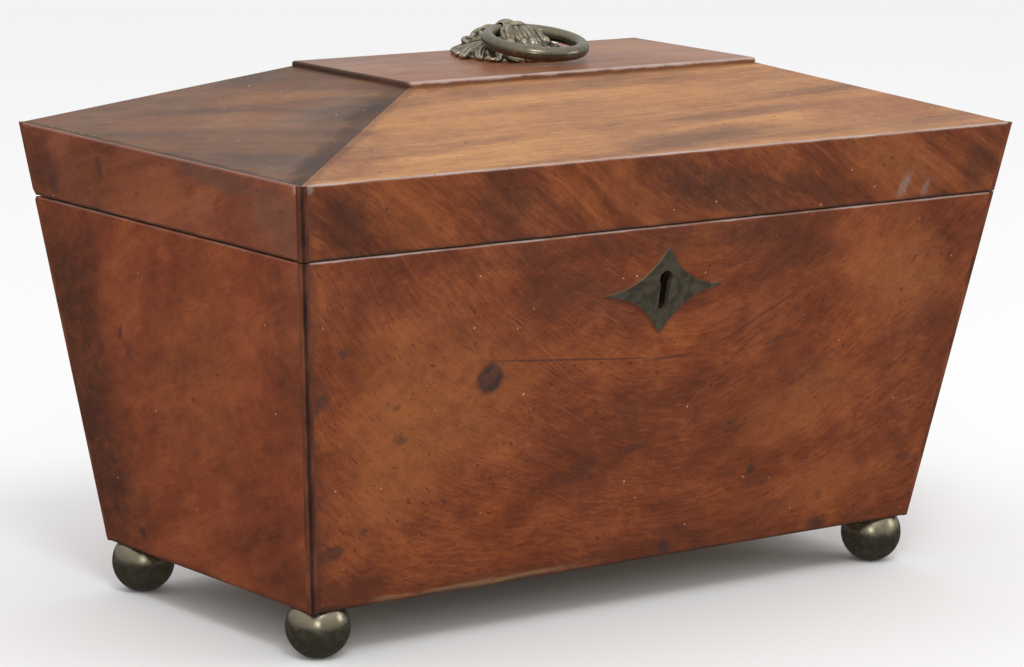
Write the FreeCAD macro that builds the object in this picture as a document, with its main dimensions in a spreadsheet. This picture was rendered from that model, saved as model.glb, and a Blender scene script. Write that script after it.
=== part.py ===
import FreeCAD, Part
import os
import re
import Sketcher

# Sarcophagus tea caddy: canted mahogany box on brass ball feet, hipped hinged lid with a lion mask
# and ring, box lock, two tea compartments and a mixing bowl.
# Millimetres. The origin is on the ground under the middle of the caddy: X to its right, Y to its back, Z up.

SIZES = {
    # Outside of the case
    "rim_width": (305, "lid rim, left to right"),
    "rim_depth": (166, "lid rim, front to back"),
    "cant": (0.154, "lean of every wall, run per unit of height"),
    "foot_height": (17, "ground to underside of the case"),
    "body_height": (118, "underside of the case to the lid joint"),
    "joint_gap": (0.4, "gap between case and closed lid"),
    "rail_height": (24.4, "height of the lid's canted rails"),
    "slope_rise": (20, "height of the lid's four slopes"),
    "top_width": (150, "flat top, left to right"),
    "top_depth": (66, "flat top, front to back"),
    "arris": (0.8, "rounding of the long outer edges"),
    # Boards
    "wall": (12, "case and rail boards, measured level"),
    "base_board": (9, "bottom board"),
    "base_rebate": (7, "reach of the bottom board under the walls"),
    "slope_board": (6, "slope boards, measured upright"),
    "rim_edge": (1.0, "ledge between the rim and the slopes"),
    "top_board": (1.8, "showing edge of the top board"),
    "top_plug": (6, "part of the top board between the slopes"),
    "plug_clearance": (0.2, "top board plug to the slopes"),
    "lining_board": (4, "panel inside the lid"),
    "lining_recess": (13, "rail underside to the lining panel"),
    "stringing": (2.6, "width of the dark corner strips"),
    "stringing_round": (1.3, "rounding of the dark corner strips"),
    # Feet
    "ball": (21.4, "diameter of a ball foot"),
    "ball_flat": (6, "diameter of the worn flat under a ball"),
    "foot_inset": (9.3, "edge of the underside to the middle of a foot"),
    "foot_stud": (4.4, "diameter of a foot's stud"),
    "foot_stud_length": (7, "length of a foot's stud"),
    # Escutcheon and keyhole, measured down the slope of the front
    "plate_width": (50, "escutcheon, tip to tip"),
    "plate_height": (29, "escutcheon, tip to tip"),
    "plate_hollow": (30, "radius of the hollow sides"),
    "plate_thickness": (1.0, "escutcheon"),
    "plate_drop": (22.4, "top of the front to the middle of the escutcheon"),
    "key_drop": (18.2, "top of the front to the middle of the keyhole's round head"),
    "key_head": (6.2, "diameter of the keyhole's round head"),
    "key_slot": (4.8, "width of the keyhole's slot"),
    "key_slot_length": (9, "middle of the round head to the middle of the slot's round foot"),
    # Box lock
    "selvedge_width": (9.4, "top plate of the lock, front to back"),
    "selvedge_length": (52, "top plate of the lock, left to right"),
    "selvedge": (2, "thickness of the lock's top plate"),
    "lock_gap": (0.1, "top plate to case"),
    "lock_depth": (9, "lock case into the wall"),
    "lock_width": (42, "lock case, left to right"),
    "lock_height": (30, "lock case, down the wall"),
    "lock_shell": (1.2, "thickness of the lock case"),
    "flange_width": (62, "lock back plate, left to right"),
    "lock_screw_rise": (16, "distance between the two screws at each end of the lock"),
    "drill_pin": (2.4, "diameter of the pin that takes a hollow key"),
    "drill_pin_tip": (0.6, "tip of the pin behind the lock's front plate"),
    # Bolt and staples
    "bolt_depth": (4.6, "inner face of the front to the middle of the bolt"),
    "bolt_thickness": (2, "bolt bar, front to back"),
    "bolt_bar": (5.6, "height of the bolt bar"),
    "bolt_length": (31, "bolt bar, left to right"),
    "bolt_travel": (5, "throw of the bolt"),
    "bolt_rail": (1.5, "rails that the bolt slides on"),
    "bolt_clearance": (0.1, "bolt to its rails"),
    "key_way": (10, "gap between the bolt rails for the key's bit"),
    "finger_drop": (2.2, "top of the lock to the middle of the bolt's fingers"),
    "finger_height": (1.8, "bolt finger"),
    "finger_thickness": (1.6, "bolt finger"),
    "finger_post": (2.6, "upright that carries a bolt finger"),
    "finger_clearance": (0.5, "bolt finger to the eye of a staple"),
    "staple_spacing": (18, "between the two staples"),
    "staple": (2.2, "thickness of a staple, left to right"),
    "staple_side": (0.9, "metal round the eye of a staple"),
    "staple_slot": (0.8, "room round a staple in the lock's top plate"),
    "link_length": (38, "link plate, left to right"),
    "link_width": (7, "link plate, front to back"),
    "link_plate": (1.6, "thickness of the link plate"),
    "link_screws": (28, "between the screws of the link plate"),
    # Hinges
    "hinge_inset": (63.7, "end of the case to the middle of a hinge"),
    "hinge_length": (38, "hinge leaf"),
    "hinge_setback": (2.4, "back of the case to the hinge axis"),
    "leaf": (1.4, "thickness of a hinge leaf"),
    "leaf_margin": (1.0, "hinge leaf to the inner face of the wall"),
    "leaf_proud": (0.1, "hinge leaf above its recess"),
    "knuckle": (5.4, "diameter of a hinge knuckle"),
    "knuckle_gap": (0.1, "half of the gap between knuckles"),
    "hinge_pin": (2.4, "diameter of a hinge pin"),
    "running_clearance": (0.03, "a pin, stud or screw in its hole"),
    "swing_clearance": (0.3, "hinge knuckles to the wood and the other leaf"),
    "hinge_screws": (12, "between the screws of a hinge leaf"),
    "opening_angle": (95, "swing of the lid"),
    "stop_clearance": (1.5, "angle left at the bevels when the lid is open"),
    # Screws
    "screw_head": (4.2, "diameter of a countersunk head"),
    "screw_head_depth": (1.1, "depth of a countersunk head"),
    "screw_shank": (2.2, "diameter of a screw"),
    "screw_slot": (0.6, "width and depth of a screw's slot"),
    "screw_length": (9, "screws of the hinges and the link plate"),
    "lock_screw_length": (7, "screws of the lock"),
    # Inside
    "well_width": (100, "middle well, left to right"),
    "partition": (5, "thickness of a partition"),
    "partition_drop": (16, "lid joint to the tops of the partitions"),
    "tea_lid": (5, "thickness of a tea lid"),
    "tea_lid_clearance": (0.4, "tea lid to the walls"),
    "ledge": (4, "width of the ledges"),
    "ledge_height": (6, "height of the ledges"),
    "bowl_board": (5, "board that carries the bowl"),
    "bowl_board_drop": (3, "tops of the partitions to the bowl board"),
    "bowl_margin": (3.5, "rim of the bowl to the partitions"),
    "bowl_taper": (23, "diameter of the bowl's rim over that of its foot"),
    "bowl_height": (66, "bowl"),
    "bowl_wall": (3.5, "thickness of the bowl's side"),
    "bowl_floor": (6, "thickness of the bowl's floor"),
    "bowl_stand": (10, "height of the bowl's rim above its board"),
    "bowl_clearance": (0.3, "bowl to the hole in its board"),
    "knob_ball": (9.4, "diameter of a tea lid's knob"),
    "knob_sink": (0.9, "ball of a knob over the top of its stem"),
    "knob_stem": (3.6, "height of a knob's stem"),
    "knob_foot": (10, "diameter of a knob's foot"),
    "knob_foot_height": (1.4, "height of a knob's foot"),
    "knob_shank": (3.2, "diameter of a knob's shank"),
    # Lion mask and ring, measured from the middle of the lid and from its flat top
    "mask": (43.6, "diameter of the lion mask over its mane"),
    "mask_back": (9.6, "middle of the mask"),
    "mask_plate": (1.2, "rim of the mask"),
    "mask_dome": (38, "diameter of the mask's dome"),
    "mask_rise": (6.2, "height of the mask's dome"),
    "outer_lock": (9.4, "length of an outer lock of the mane"),
    "outer_rise": (3.0, "height of the root of an outer lock"),
    "inner_lock": (7.6, "length of an inner lock of the mane"),
    "inner_rise": (5.4, "height of the root of an inner lock"),
    "inner_fall": (3.2, "height of the tip of an inner lock"),
    "lock_of_mane": (4.2, "diameter of a lock of the mane at its root"),
    "lock_tip": (1.4, "diameter of a lock of the mane at its tip"),
    "nose_back": (10.6, "middle of the nose"),
    "nose_width": (10, "nose"),
    "nose_length": (12, "nose, bridge to lip"),
    "nose_top": (12.6, "top of the nose"),
    "jaw_back": (1.5, "middle of the lower jaw"),
    "jaw_width": (12, "lower jaw"),
    "jaw_length": (15, "lower jaw, lip to chin"),
    "jaw_top": (11, "top of the lower jaw"),
    "forehead_back": (18.5, "middle of the forehead"),
    "forehead_width": (17, "forehead"),
    "forehead_length": (14, "forehead"),
    "forehead_top": (8.2, "top of the forehead"),
    "pad_back": (8.6, "middle of the whisker pads"),
    "pad_spread": (6.8, "between the middles of the whisker pads"),
    "pad": (6.4, "diameter of a whisker pad"),
    "pad_top": (11.4, "top of a whisker pad"),
    "brow_back": (17, "middle of the brows"),
    "brow_spread": (9, "between the middles of the brows"),
    "brow_length": (6.4, "brow"),
    "brow_width": (3.6, "brow"),
    "brow_top": (9.2, "top of a brow"),
    "ear_back": (20.5, "middle of the ears"),
    "ear_spread": (23, "between the middles of the ears"),
    "ear": (6, "diameter of an ear"),
    "ear_top": (6.8, "top of an ear"),
    "curl": (4.6, "diameter of a curl of the beard"),
    "curl_back": (5.4, "middle of the first curl on the crest of the beard"),
    "curl_pitch": (4.3, "between the curls along the beard"),
    "curl_top": (12.1, "top of the first curl"),
    "curl_fall": (0.9, "drop from one curl to the next"),
    "curl_spread": (9.4, "between the side curls of the beard"),
    "curl_drop": (3.4, "crest curls down to the side curls"),
    "ring_tube": (4.8, "thickness of the ring"),
    "ring_radius": (16.2, "radius of the ring at the middle of its tube"),
    "ring_axis_rise": (8.5, "height of the ring's axis"),
    "ring_axis_back": (11.8, "the ring's axis"),
    "ring_rest": (1.4, "free end of the ring above the lid, where it lies on the mane"),
    "mouth_clearance": (0.3, "ring to the lion's mouth"),
    "mask_stud": (4, "diameter of the mask's stud"),
    "mask_stud_back": (9, "middle of the lid to the mask's stud"),
    "nut_width": (9, "square nut under the lid"),
    "nut_height": (3, "square nut under the lid"),
    "stud_tip": (1, "stud below its nut"),
}

DERIVED = {
    "joint_z": "foot_height + body_height",
    "lid_z": "joint_z + joint_gap",
    "rim_z": "lid_z + rail_height",
    "slope_top_z": "rim_z + slope_rise",
    "top_z": "slope_top_z + top_board",
    "floor_z": "foot_height + base_board",
    "shelf_z": "joint_z - partition_drop",
    "bowl_board_z": "shelf_z - bowl_board_drop",
    "lean": "atan(cant)",
    "lean_cos": "1 / sqrt(1 + cant * cant)",
    "lean_sin": "cant / sqrt(1 + cant * cant)",
    "wall_square": "wall * lean_cos",
    "front_y": "-(rim_depth / 2 - cant * (rim_z - joint_z))",
    "inner_front_y": "front_y + wall",
    "slope_run_x": "(rim_width - top_width) / 2 - rim_edge",
    "slope_run_y": "(rim_depth - top_depth) / 2 - rim_edge",
    "slope_level_x": "slope_board * slope_run_x / slope_rise",
    "slope_level_y": "slope_board * slope_run_y / slope_rise",
    "lock_top": "wall_square * cant + selvedge / lean_cos + lock_gap",
    "lock_bottom": "lock_top + lock_height",
    "lock_front": "wall_square - lock_depth",
    "finger_down": "lock_top + finger_drop",
    "bolt_in": "wall_square - bolt_depth",
    "bolt_down": "finger_down + finger_height / 2 + 2 * finger_clearance + staple_side"
                 " + bolt_thickness * cant",
    "staple_y": "front_y + bolt_in * lean_cos + finger_down * lean_sin",
    "staple_eye_z": "joint_z + bolt_in * lean_sin - finger_down * lean_cos",
    "hinge_y": "-front_y - hinge_setback",
    "hinge_z": "joint_z + joint_gap / 2",
    "leaf_width": "wall - hinge_setback - leaf_margin",
    "stop_bevel": "opening_angle / 2 + stop_clearance",
    "swing_radius": "knuckle / 2 + swing_clearance",
    "well": "well_width / 2",
    "well_back": "well + partition",
    "bowl_rim": "well_width - 2 * bowl_margin",
    "bowl_base": "bowl_rim - bowl_taper",
    "bowl_slope": "bowl_taper / 2 / bowl_height",
    "bowl_z": "bowl_board_z + bowl_stand - bowl_height",
    "bowl_hole": "bowl_rim / 2 - bowl_slope * bowl_stand + bowl_clearance",
    "ring_axis_z": "top_z + ring_axis_rise",
    "ring_tilt": "asin((ring_axis_rise - ring_tube / 2 - ring_rest) / (2 * ring_radius))",
}

doc = FreeCAD.newDocument("tea_caddy")
sheet = doc.addObject("Spreadsheet::Sheet", "sizes")
for row, (alias, (number, note)) in enumerate(SIZES.items(), start=1):
    sheet.set(f"A{row}", alias)
    sheet.set(f"B{row}", str(number))
    sheet.setAlias(f"B{row}", alias)
    sheet.set(f"C{row}", note)
doc.recompute()

nodes = {}


# Formulas


def formula(text):
    """Points each named size at its cell and opens up each derived size."""
    def cell(match):
        name = match.group(0)
        if name in DERIVED:
            return f"({formula(DERIVED[name])})"
        return f"sizes.{name}" if name in SIZES else name
    return re.sub(r"[A-Za-z_]\w*", cell, str(text))


def value(text):
    """The present value of a formula, as a plain number."""
    result = sheet.evalExpression(formula(text))
    return float(getattr(result, "Value", result))


def half_width(height):
    """Middle of the caddy to the outside of an end at a height."""
    return f"(rim_width / 2 - cant * (rim_z - ({height})))"


def half_depth(height):
    """Middle of the caddy to the outside of the front at a height."""
    return f"(rim_depth / 2 - cant * (rim_z - ({height})))"


def inner_width(height):
    """Middle of the caddy to the inside of an end at a height."""
    return f"({half_width(height)} - wall)"


def inner_depth(height):
    """Middle of the caddy to the inside of the front at a height."""
    return f"({half_depth(height)} - wall)"


def in_front(across, depth, down):
    """A point of the leaning front: across, in from its outer face, and down its slope from the top."""
    return (
        across,
        f"front_y + ({depth}) * lean_cos + ({down}) * lean_sin",
        f"joint_z + ({depth}) * lean_sin - ({down}) * lean_cos",
    )


# Document objects

AXES = {
    "x": FreeCAD.Vector(1, 0, 0),
    "y": FreeCAD.Vector(0, 1, 0),
    "z": FreeCAD.Vector(0, 0, 1),
}


def bind(item, **formulas):
    """Ties properties of an object to formulas."""
    for name, text in formulas.items():
        item.setExpression(name, formula(text))
    return item


def place(item, point, axis="z", angle="0"):
    """Puts an object at a point, turned about one axis through it."""
    turned = FreeCAD.Rotation(AXES[axis], value(angle))
    item.Placement = FreeCAD.Placement(FreeCAD.Vector(*(value(text) for text in point)), turned)
    for name, text in zip("xyz", point):
        item.setExpression(f"Placement.Base.{name}", formula(text))
    if value(angle):
        item.setExpression("Placement.Rotation.Angle", formula(angle))
    return item


def node(label, item):
    """Names a finished sub-part and lists it for export."""
    item.Label = label
    nodes[label] = item
    return item


def box(name, across, along, upright):
    """A block between two limits each way."""
    item = doc.addObject("Part::Box", name)
    lengths = [f"({high}) - ({low})" for low, high in (across, along, upright)]
    bind(item, Length=lengths[0], Width=lengths[1], Height=lengths[2])
    return place(item, (across[0], along[0], upright[0]))


def leaning_box(name, across, depth, down):
    """A block square to the leaning front."""
    item = doc.addObject("Part::Box", name)
    lengths = [f"({high}) - ({low})" for low, high in (across, depth, down)]
    bind(item, Length=lengths[0], Width=lengths[1], Height=lengths[2])
    return place(item, in_front(across[0], depth[0], down[1]), "x", "lean")


def rod(name, start, length, diameter, along="z", angle="0"):
    """A cylinder from a point, along Z or turned about an axis."""
    item = doc.addObject("Part::Cylinder", name)
    bind(item, Radius=f"({diameter}) / 2", Height=length)
    return place(item, start, along, angle)


def cross_rod(name, start, length, diameter):
    """A cylinder that runs to the right."""
    return rod(name, start, length, diameter, "y", "90")


def leaning_rod(name, across, depth, down, length, diameter):
    """A cylinder that runs in, square to the leaning front."""
    return rod(name, in_front(across, depth, down), length, diameter, "x", "lean - 90 deg")


def frustum(name, low, high, left, right, front, back):
    """A block with leaning sides: each side is a formula of the height."""
    item = doc.addObject("Part::Wedge", name)
    bind(item, Ymin=low, Ymax=high)
    bind(item, Xmin=left(low), Xmax=right(low), X2min=left(high), X2max=right(high))
    bind(item, Zmin=f"-({back(low)})", Zmax=f"-({front(low)})")
    bind(item, Z2min=f"-({back(high)})", Z2max=f"-({front(high)})")
    return place(item, ("0", "0", "0"), "x", "90")


def level(text):
    """A side of a frustum that stands upright."""
    return lambda height: text


def joined(name, items):
    """One solid from several that touch."""
    item = doc.addObject("Part::MultiFuse", name)
    item.Shapes = items
    return item


def group(name, items):
    """Several separate solids in one sub-part."""
    item = doc.addObject("Part::Compound", name)
    item.Links = items
    return item


def cut(name, base, tools):
    """A solid less one or more tools."""
    item = doc.addObject("Part::Cut", name)
    item.Base = base
    item.Tool = tools[0] if len(tools) == 1 else joined(f"{name}_tools", tools)
    return item


def overlap(name, first, second):
    """What two solids have in common."""
    item = doc.addObject("Part::Common", name)
    item.Base = first
    item.Tool = second
    return item


# Bodies and sketches


def outline(body, name, role, loops):
    """Closed outlines on an origin plane, each corner held by formulas from the origin."""
    sketch = body.newObject("Sketcher::SketchObject", name)
    plane = next(item for item in body.Origin.OriginFeatures if item.Role == role)
    sketch.AttachmentSupport = (plane, [""])
    sketch.MapMode = "FlatFace"
    first = 0
    for corners in loops:
        points = [FreeCAD.Vector(value(x), value(y), 0) for x, y in corners]
        count = len(points)
        for index in range(count):
            sketch.addGeometry(Part.LineSegment(points[index], points[(index + 1) % count]))
        for index in range(count):
            following = first + (index + 1) % count
            sketch.addConstraint(Sketcher.Constraint("Coincident", first + index, 2, following, 1))
            hold_corner(sketch, first + index, corners[index])
        first += count
    return sketch


def hold_corner(sketch, edge, corner):
    """Ties the start of an edge to its two formulas."""
    for kind, text in zip(("DistanceX", "DistanceY"), corner):
        constraint = sketch.addConstraint(Sketcher.Constraint(kind, -1, 1, edge, 1, value(text)))
        sketch.setExpression(f"Constraints[{constraint}]", formula(text))


def pad(body, sketch, length):
    """Thickens an outline to both sides of its plane."""
    feature = body.newObject("PartDesign::Pad", "pad")
    feature.Profile = sketch
    feature.SideType = "Symmetric"
    return bind(feature, Length=length)


def trim(body, sketch):
    """Cuts an outline right through, to both sides of its plane."""
    feature = body.newObject("PartDesign::Pocket", "trim")
    feature.Profile = sketch
    feature.SideType = "Symmetric"
    feature.Type = "ThroughAll"
    return feature


def soften(body, feature, radius, picks):
    """Rounds each edge whose two ends pass the test."""
    doc.recompute()
    edges = [
        f"Edge{index}"
        for index, edge in enumerate(feature.Shape.Edges, start=1)
        if all(picks(vertex.Point) for vertex in edge.Vertexes)
    ]
    fillet = body.newObject("PartDesign::Fillet", "soften")
    fillet.Base = (feature, edges)
    return bind(fillet, Radius=radius)


def near(first, second):
    """True for two lengths that agree."""
    return abs(first - second) < 1e-4


def mitred_board(name, side, section, corner, run):
    """A board with a sloping section and mitred ends.

    The section is drawn for the front or the left end, and the board is turned round for the other two.
    The corner is where the mitre starts outside, and the run is how far it goes inwards.
    """
    lengthwise = side in ("front", "back")
    body = doc.addObject("PartDesign::Body", name)
    sketch = outline(body, "section", "YZ_Plane" if lengthwise else "XZ_Plane", [section])
    pad(body, sketch, f"2 * ({corner[0] if lengthwise else corner[1]})")
    (corner_x, corner_y), (run_x, run_y) = corner, run
    outer_x, inner_x = f"{corner_x} + {run_x}", f"{corner_x} - {run_x}"
    outer_y, inner_y = f"{corner_y} + {run_y}", f"{corner_y} - {run_y}"
    if lengthwise:
        offcut = [(outer_x, f"-({outer_y})"), (outer_x, f"-({inner_y})"), (inner_x, f"-({inner_y})")]
        mirrored = [(f"-({x})", y) for x, y in offcut]
    else:
        offcut = [(f"-({outer_x})", outer_y), (f"-({inner_x})", outer_y), (f"-({inner_x})", inner_y)]
        mirrored = [(x, f"-({y})") for x, y in offcut]
    trimmed = trim(body, outline(body, "mitres", "XY_Plane", [offcut, mirrored]))
    if side in ("back", "right"):
        place(body, ("0", "0", "0"), "z", "180")
    return body, trimmed


def canted_board(name, side, low, high):
    """A board of the case or the lid's rim, with its long outer edges rounded."""
    half = half_depth if side in ("front", "back") else half_width
    section = [
        (f"-{half(low)}", low),
        (f"-{half(low)} + wall", low),
        (f"-{half(high)} + wall", high),
        (f"-{half(high)}", high),
    ]
    corner = (half_width(high), half_depth(high))
    body, trimmed = mitred_board(name, side, section, corner, ("rim_depth / 2", "rim_depth / 2"))
    outside = {near_height: -value(half(near_height)) for near_height in (low, high)}
    heights = {near_height: value(near_height) for near_height in outside}

    def on_outer_edge(point):
        across = point.y if side in ("front", "back") else point.x
        return any(near(point.z, heights[key]) and near(across, outside[key]) for key in outside)

    soften(body, trimmed, "arris", on_outer_edge)
    return body


# The hip cuts reach past the inner edge of a slope by this share of its run
MITRE_REACH = 1.5


def slope_board(name, side):
    """A board of the lid's hipped top."""
    if side in ("front", "back"):
        start, end, thick = "-rim_depth / 2 + rim_edge", "-top_depth / 2", "slope_level_y"
    else:
        start, end, thick = "-rim_width / 2 + rim_edge", "-top_width / 2", "slope_level_x"
    section = [
        (start, "rim_z"),
        (f"{start} + {thick}", "rim_z"),
        (f"{end} + {thick}", "slope_top_z"),
        (end, "slope_top_z"),
    ]
    corner = ("(rim_width / 2 - rim_edge)", "(rim_depth / 2 - rim_edge)")
    run = (f"{MITRE_REACH} * slope_run_x", f"{MITRE_REACH} * slope_run_y")
    body, _ = mitred_board(name, side, section, corner, run)
    return body


def corner_strip(name, side_x, side_y, low, high, rounded):
    """A strip of stringing in an upright corner, square, or with its outer edge rounded."""
    body = doc.addObject("PartDesign::Body", name)
    band = [
        (f"{side_x} * {half_width(low)}", low),
        (f"{side_x} * ({half_width(low)} - stringing)", low),
        (f"{side_x} * ({half_width(high)} - stringing)", high),
        (f"{side_x} * {half_width(high)}", high),
    ]
    pad(body, outline(body, "band", "XZ_Plane", [band]), f"2 * {half_depth(high)}")
    rest = [
        (f"-{side_y} * 2 * {half_depth(high)}", low),
        (f"{side_y} * ({half_depth(low)} - stringing)", low),
        (f"{side_y} * ({half_depth(high)} - stringing)", high),
        (f"-{side_y} * 2 * {half_depth(high)}", high),
    ]
    trim(body, outline(body, "rest", "YZ_Plane", [rest]))
    beyond = [
        (f"{side_y} * {half_depth(low)}", low),
        (f"{side_y} * 2 * {half_depth(high)}", low),
        (f"{side_y} * 2 * {half_depth(high)}", high),
        (f"{side_y} * {half_depth(high)}", high),
    ]
    strip = trim(body, outline(body, "beyond", "YZ_Plane", [beyond]))
    if rounded:
        limits = {value(low): low, value(high): high}

        def on_arris(point):
            height = next((text for number, text in limits.items() if near(point.z, number)), None)
            return height is not None and near(abs(point.x), value(half_width(height))) \
                and near(abs(point.y), value(half_depth(height)))

        soften(body, strip, "stringing_round", on_arris)
    return body


CORNERS = {
    "front_left": (-1, -1),
    "front_right": (1, -1),
    "back_left": (-1, 1),
    "back_right": (1, 1),
}


# Screws


def screw(name, point, axis="z", angle="0", length="screw_length", spare="0"):
    """A countersunk screw with its head at a point and its tip along Z before it is turned."""
    head = doc.addObject("Part::Cone", f"{name}_head")
    bind(head, Radius1=f"screw_head / 2 + {spare}", Radius2=f"screw_shank / 2 + {spare}")
    bind(head, Height="screw_head_depth")
    shank = rod(f"{name}_shank", ("0", "0", "screw_head_depth"),
                f"{length} - screw_head_depth + {spare}", f"screw_shank + 2 * {spare}")
    whole = joined(f"{name}_blank", [head, shank])
    if spare == "0":
        groove = box(f"{name}_groove", ("-screw_head", "screw_head"),
                     ("-screw_slot / 2", "screw_slot / 2"), ("-screw_slot", "screw_slot"))
        whole = cut(name, whole, [groove])
    return place(whole, point, axis, angle)


SCREW_CLEARANCE = "running_clearance"


# Case

SIDES = ("front", "back", "left", "right")
CASE_NAMES = {"front": "carcase_front", "back": "carcase_back",
              "left": "carcase_left_end", "right": "carcase_right_end"}
RAIL_NAMES = {side: f"lid_{side}_rail" for side in SIDES}


def bottom_limits(axis):
    """The bottom board's two limits on an axis."""
    half = half_width("foot_height") if axis == "x" else half_depth("foot_height")
    reach = f"({half} - wall + base_rebate)"
    return f"-{reach}", reach


def keyhole(name, depth, length):
    """The tool that cuts the keyhole through some depth of the front."""
    head = leaning_rod(f"{name}_head", "0", depth, "key_drop", length, "key_head")
    foot = leaning_rod(f"{name}_foot", "0", depth, "key_drop + key_slot_length", length, "key_slot")
    slot = leaning_box(f"{name}_slot", ("-key_slot / 2", "key_slot / 2"), (depth, f"{depth} + {length}"),
                       ("key_drop", "key_drop + key_slot_length"))
    return joined(name, [head, slot, foot])


def stop_bevel(name, lid):
    """The tool that bevels a back edge, so that case and lid meet when the lid is open."""
    item = doc.addObject("Part::Box", name)
    bind(item, Length="rim_width", Width="wall", Height="wall")
    if lid:
        below = ("-rim_width / 2", "hinge_y + wall * sin(stop_bevel)", "hinge_z - wall * cos(stop_bevel)")
        return place(item, below, "x", "stop_bevel")
    return place(item, ("-rim_width / 2", "hinge_y", "hinge_z"), "x", "-(stop_bevel)")


HINGE_MIDDLE = f"({half_width('joint_z')} - hinge_inset)"
HINGES = {"left": f"-{HINGE_MIDDLE}", "right": HINGE_MIDDLE}
HINGE_SCREWS = {"outer": "-hinge_screws", "middle": "0", "inner": "hinge_screws"}
SCREW_LINE = "hinge_y - (leaf_width + knuckle / 2) / 2"


def hinge_cuts(part, low, high):
    """The recesses in a back board for the two hinges: leaves and knuckles."""
    tools = []
    for side, middle in HINGES.items():
        ends = (f"{middle} - hinge_length / 2", f"{middle} + hinge_length / 2")
        deep = ("hinge_y - leaf_width", "hinge_y")
        tools.append(box(f"{part}_{side}_leaf_recess", ends, deep, (low, high)))
        start = (f"{middle} - hinge_length / 2 - swing_clearance", "hinge_y", "hinge_z")
        tools.append(cross_rod(f"{part}_{side}_knuckle_recess", start,
                               "hinge_length + 2 * swing_clearance", "2 * swing_radius"))
    return tools


def hinge_screw_points(level_z):
    """Where the heads of the hinge screws lie."""
    for side, middle in HINGES.items():
        for which, offset in HINGE_SCREWS.items():
            yield f"{side}_{which}", (f"{middle} + {offset}", SCREW_LINE, level_z)


CASE_LEAF_TOP = "joint_z + leaf_proud"
LID_LEAF_LOW = "lid_z - leaf_proud"
LOCK_SCREWS = {
    f"{side}_{level_name}": (f"{sign} * (lock_width + flange_width) / 4",
                             f"lock_top + lock_height / 2 + {shift} * lock_screw_rise / 2")
    for side, sign in (("left", -1), ("right", 1))
    for level_name, shift in (("upper", -1), ("lower", 1))
}


def lock_screw(name, which, spare):
    """A lock screw, or the tool for its hole: in through the back plate towards the front."""
    across, down = LOCK_SCREWS[which]
    point = in_front(across, "wall_square", down)
    return screw(name, point, "x", "lean + 90 deg", "lock_screw_length", spare)


def case_boards():
    """The four walls and the bottom of the case."""
    rebate = box("rebate", bottom_limits("x"), bottom_limits("y"), ("foot_height", "floor_z"))
    bevel = stop_bevel("case_stop_bevel", lid=False)
    strips = [corner_strip(f"case_strip_seat_{corner}", *signs, "foot_height", "joint_z", rounded=False)
              for corner, signs in CORNERS.items()]
    extra = {"front": lock_cuts(), "back": [], "left": [], "right": []}
    extra["back"] += hinge_cuts("case", "joint_z - leaf + leaf_proud", "joint_z + leaf")
    extra["back"] += [screw(f"case_hinge_hole_{which}", point, "x", "180", "screw_length", SCREW_CLEARANCE)
                      for which, point in hinge_screw_points(CASE_LEAF_TOP)]
    for side, label in CASE_NAMES.items():
        stock = canted_board(f"{label}_stock", side, "foot_height", "joint_z")
        node(label, cut(label, stock, [rebate, bevel] + strips + extra[side]))
    bore = "foot_stud + 2 * running_clearance"
    studs = [rod(f"stud_hole_{corner}", foot_point(*signs), "foot_stud_length", bore)
             for corner, signs in CORNERS.items()]
    board = box("bottom_blank", bottom_limits("x"), bottom_limits("y"), ("foot_height", "floor_z"))
    node("carcase_bottom", cut("carcase_bottom", board, studs))
    rounded = [corner_strip(f"case_strip_{corner}", *signs, "foot_height", "joint_z", rounded=True)
               for corner, signs in CORNERS.items()]
    trimmed = [cut(f"case_stringing_{index}", strip, [bevel]) if index > 1 else strip
               for index, strip in enumerate(rounded)]
    node("carcase_corner_stringing", group("carcase_corner_stringing", trimmed))


def foot_point(side_x, side_y):
    """The middle of a foot on the underside of the case."""
    return (
        f"{side_x} * ({half_width('foot_height')} - foot_inset)",
        f"{side_y} * ({half_depth('foot_height')} - foot_inset)",
        "foot_height",
    )


def feet():
    """Four ball feet, each with a worn flat below, a cut seat above and a stud."""
    for corner, signs in CORNERS.items():
        across, along, _ = foot_point(*signs)
        ball = doc.addObject("Part::Sphere", f"ball_{corner}")
        bind(ball, Radius="ball / 2")
        place(ball, (across, along, "sqrt(ball * ball - ball_flat * ball_flat) / 2"))
        span = rod(f"foot_span_{corner}", (across, along, "0"), "foot_height", "2 * ball")
        stud = rod(f"foot_stud_{corner}", foot_point(*signs), "foot_stud_length", "foot_stud")
        seated = overlap(f"seated_ball_{corner}", ball, span)
        node(f"foot_{corner}", joined(f"foot_{corner}", [seated, stud]))


# Lock


def lock_cuts():
    """Everything that is cut in the front board for the lock."""
    wide = ("-lock_width / 2", "lock_width / 2")
    mortise = leaning_box("lock_mortise", wide, ("lock_front", "2 * wall"), ("-wall", "lock_bottom"))
    flange = leaning_box("flange_recess", ("-flange_width / 2", "flange_width / 2"),
                         ("wall_square - lock_shell", "2 * wall"), ("lock_top", "lock_bottom"))
    seat = box("selvedge_recess", ("-selvedge_length / 2", "selvedge_length / 2"),
               ("inner_front_y - selvedge_width", "inner_front_y + wall"),
               ("joint_z - selvedge", "joint_z + wall"))
    holes = [lock_screw(f"lock_hole_{which}", which, SCREW_CLEARANCE) for which in LOCK_SCREWS]
    return [mortise, flange, seat, keyhole("front_keyhole", "-wall", "2 * wall")] + holes


def staple_middle(sign):
    """Left to right place of a staple."""
    return f"{sign} * staple_spacing / 2"


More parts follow.
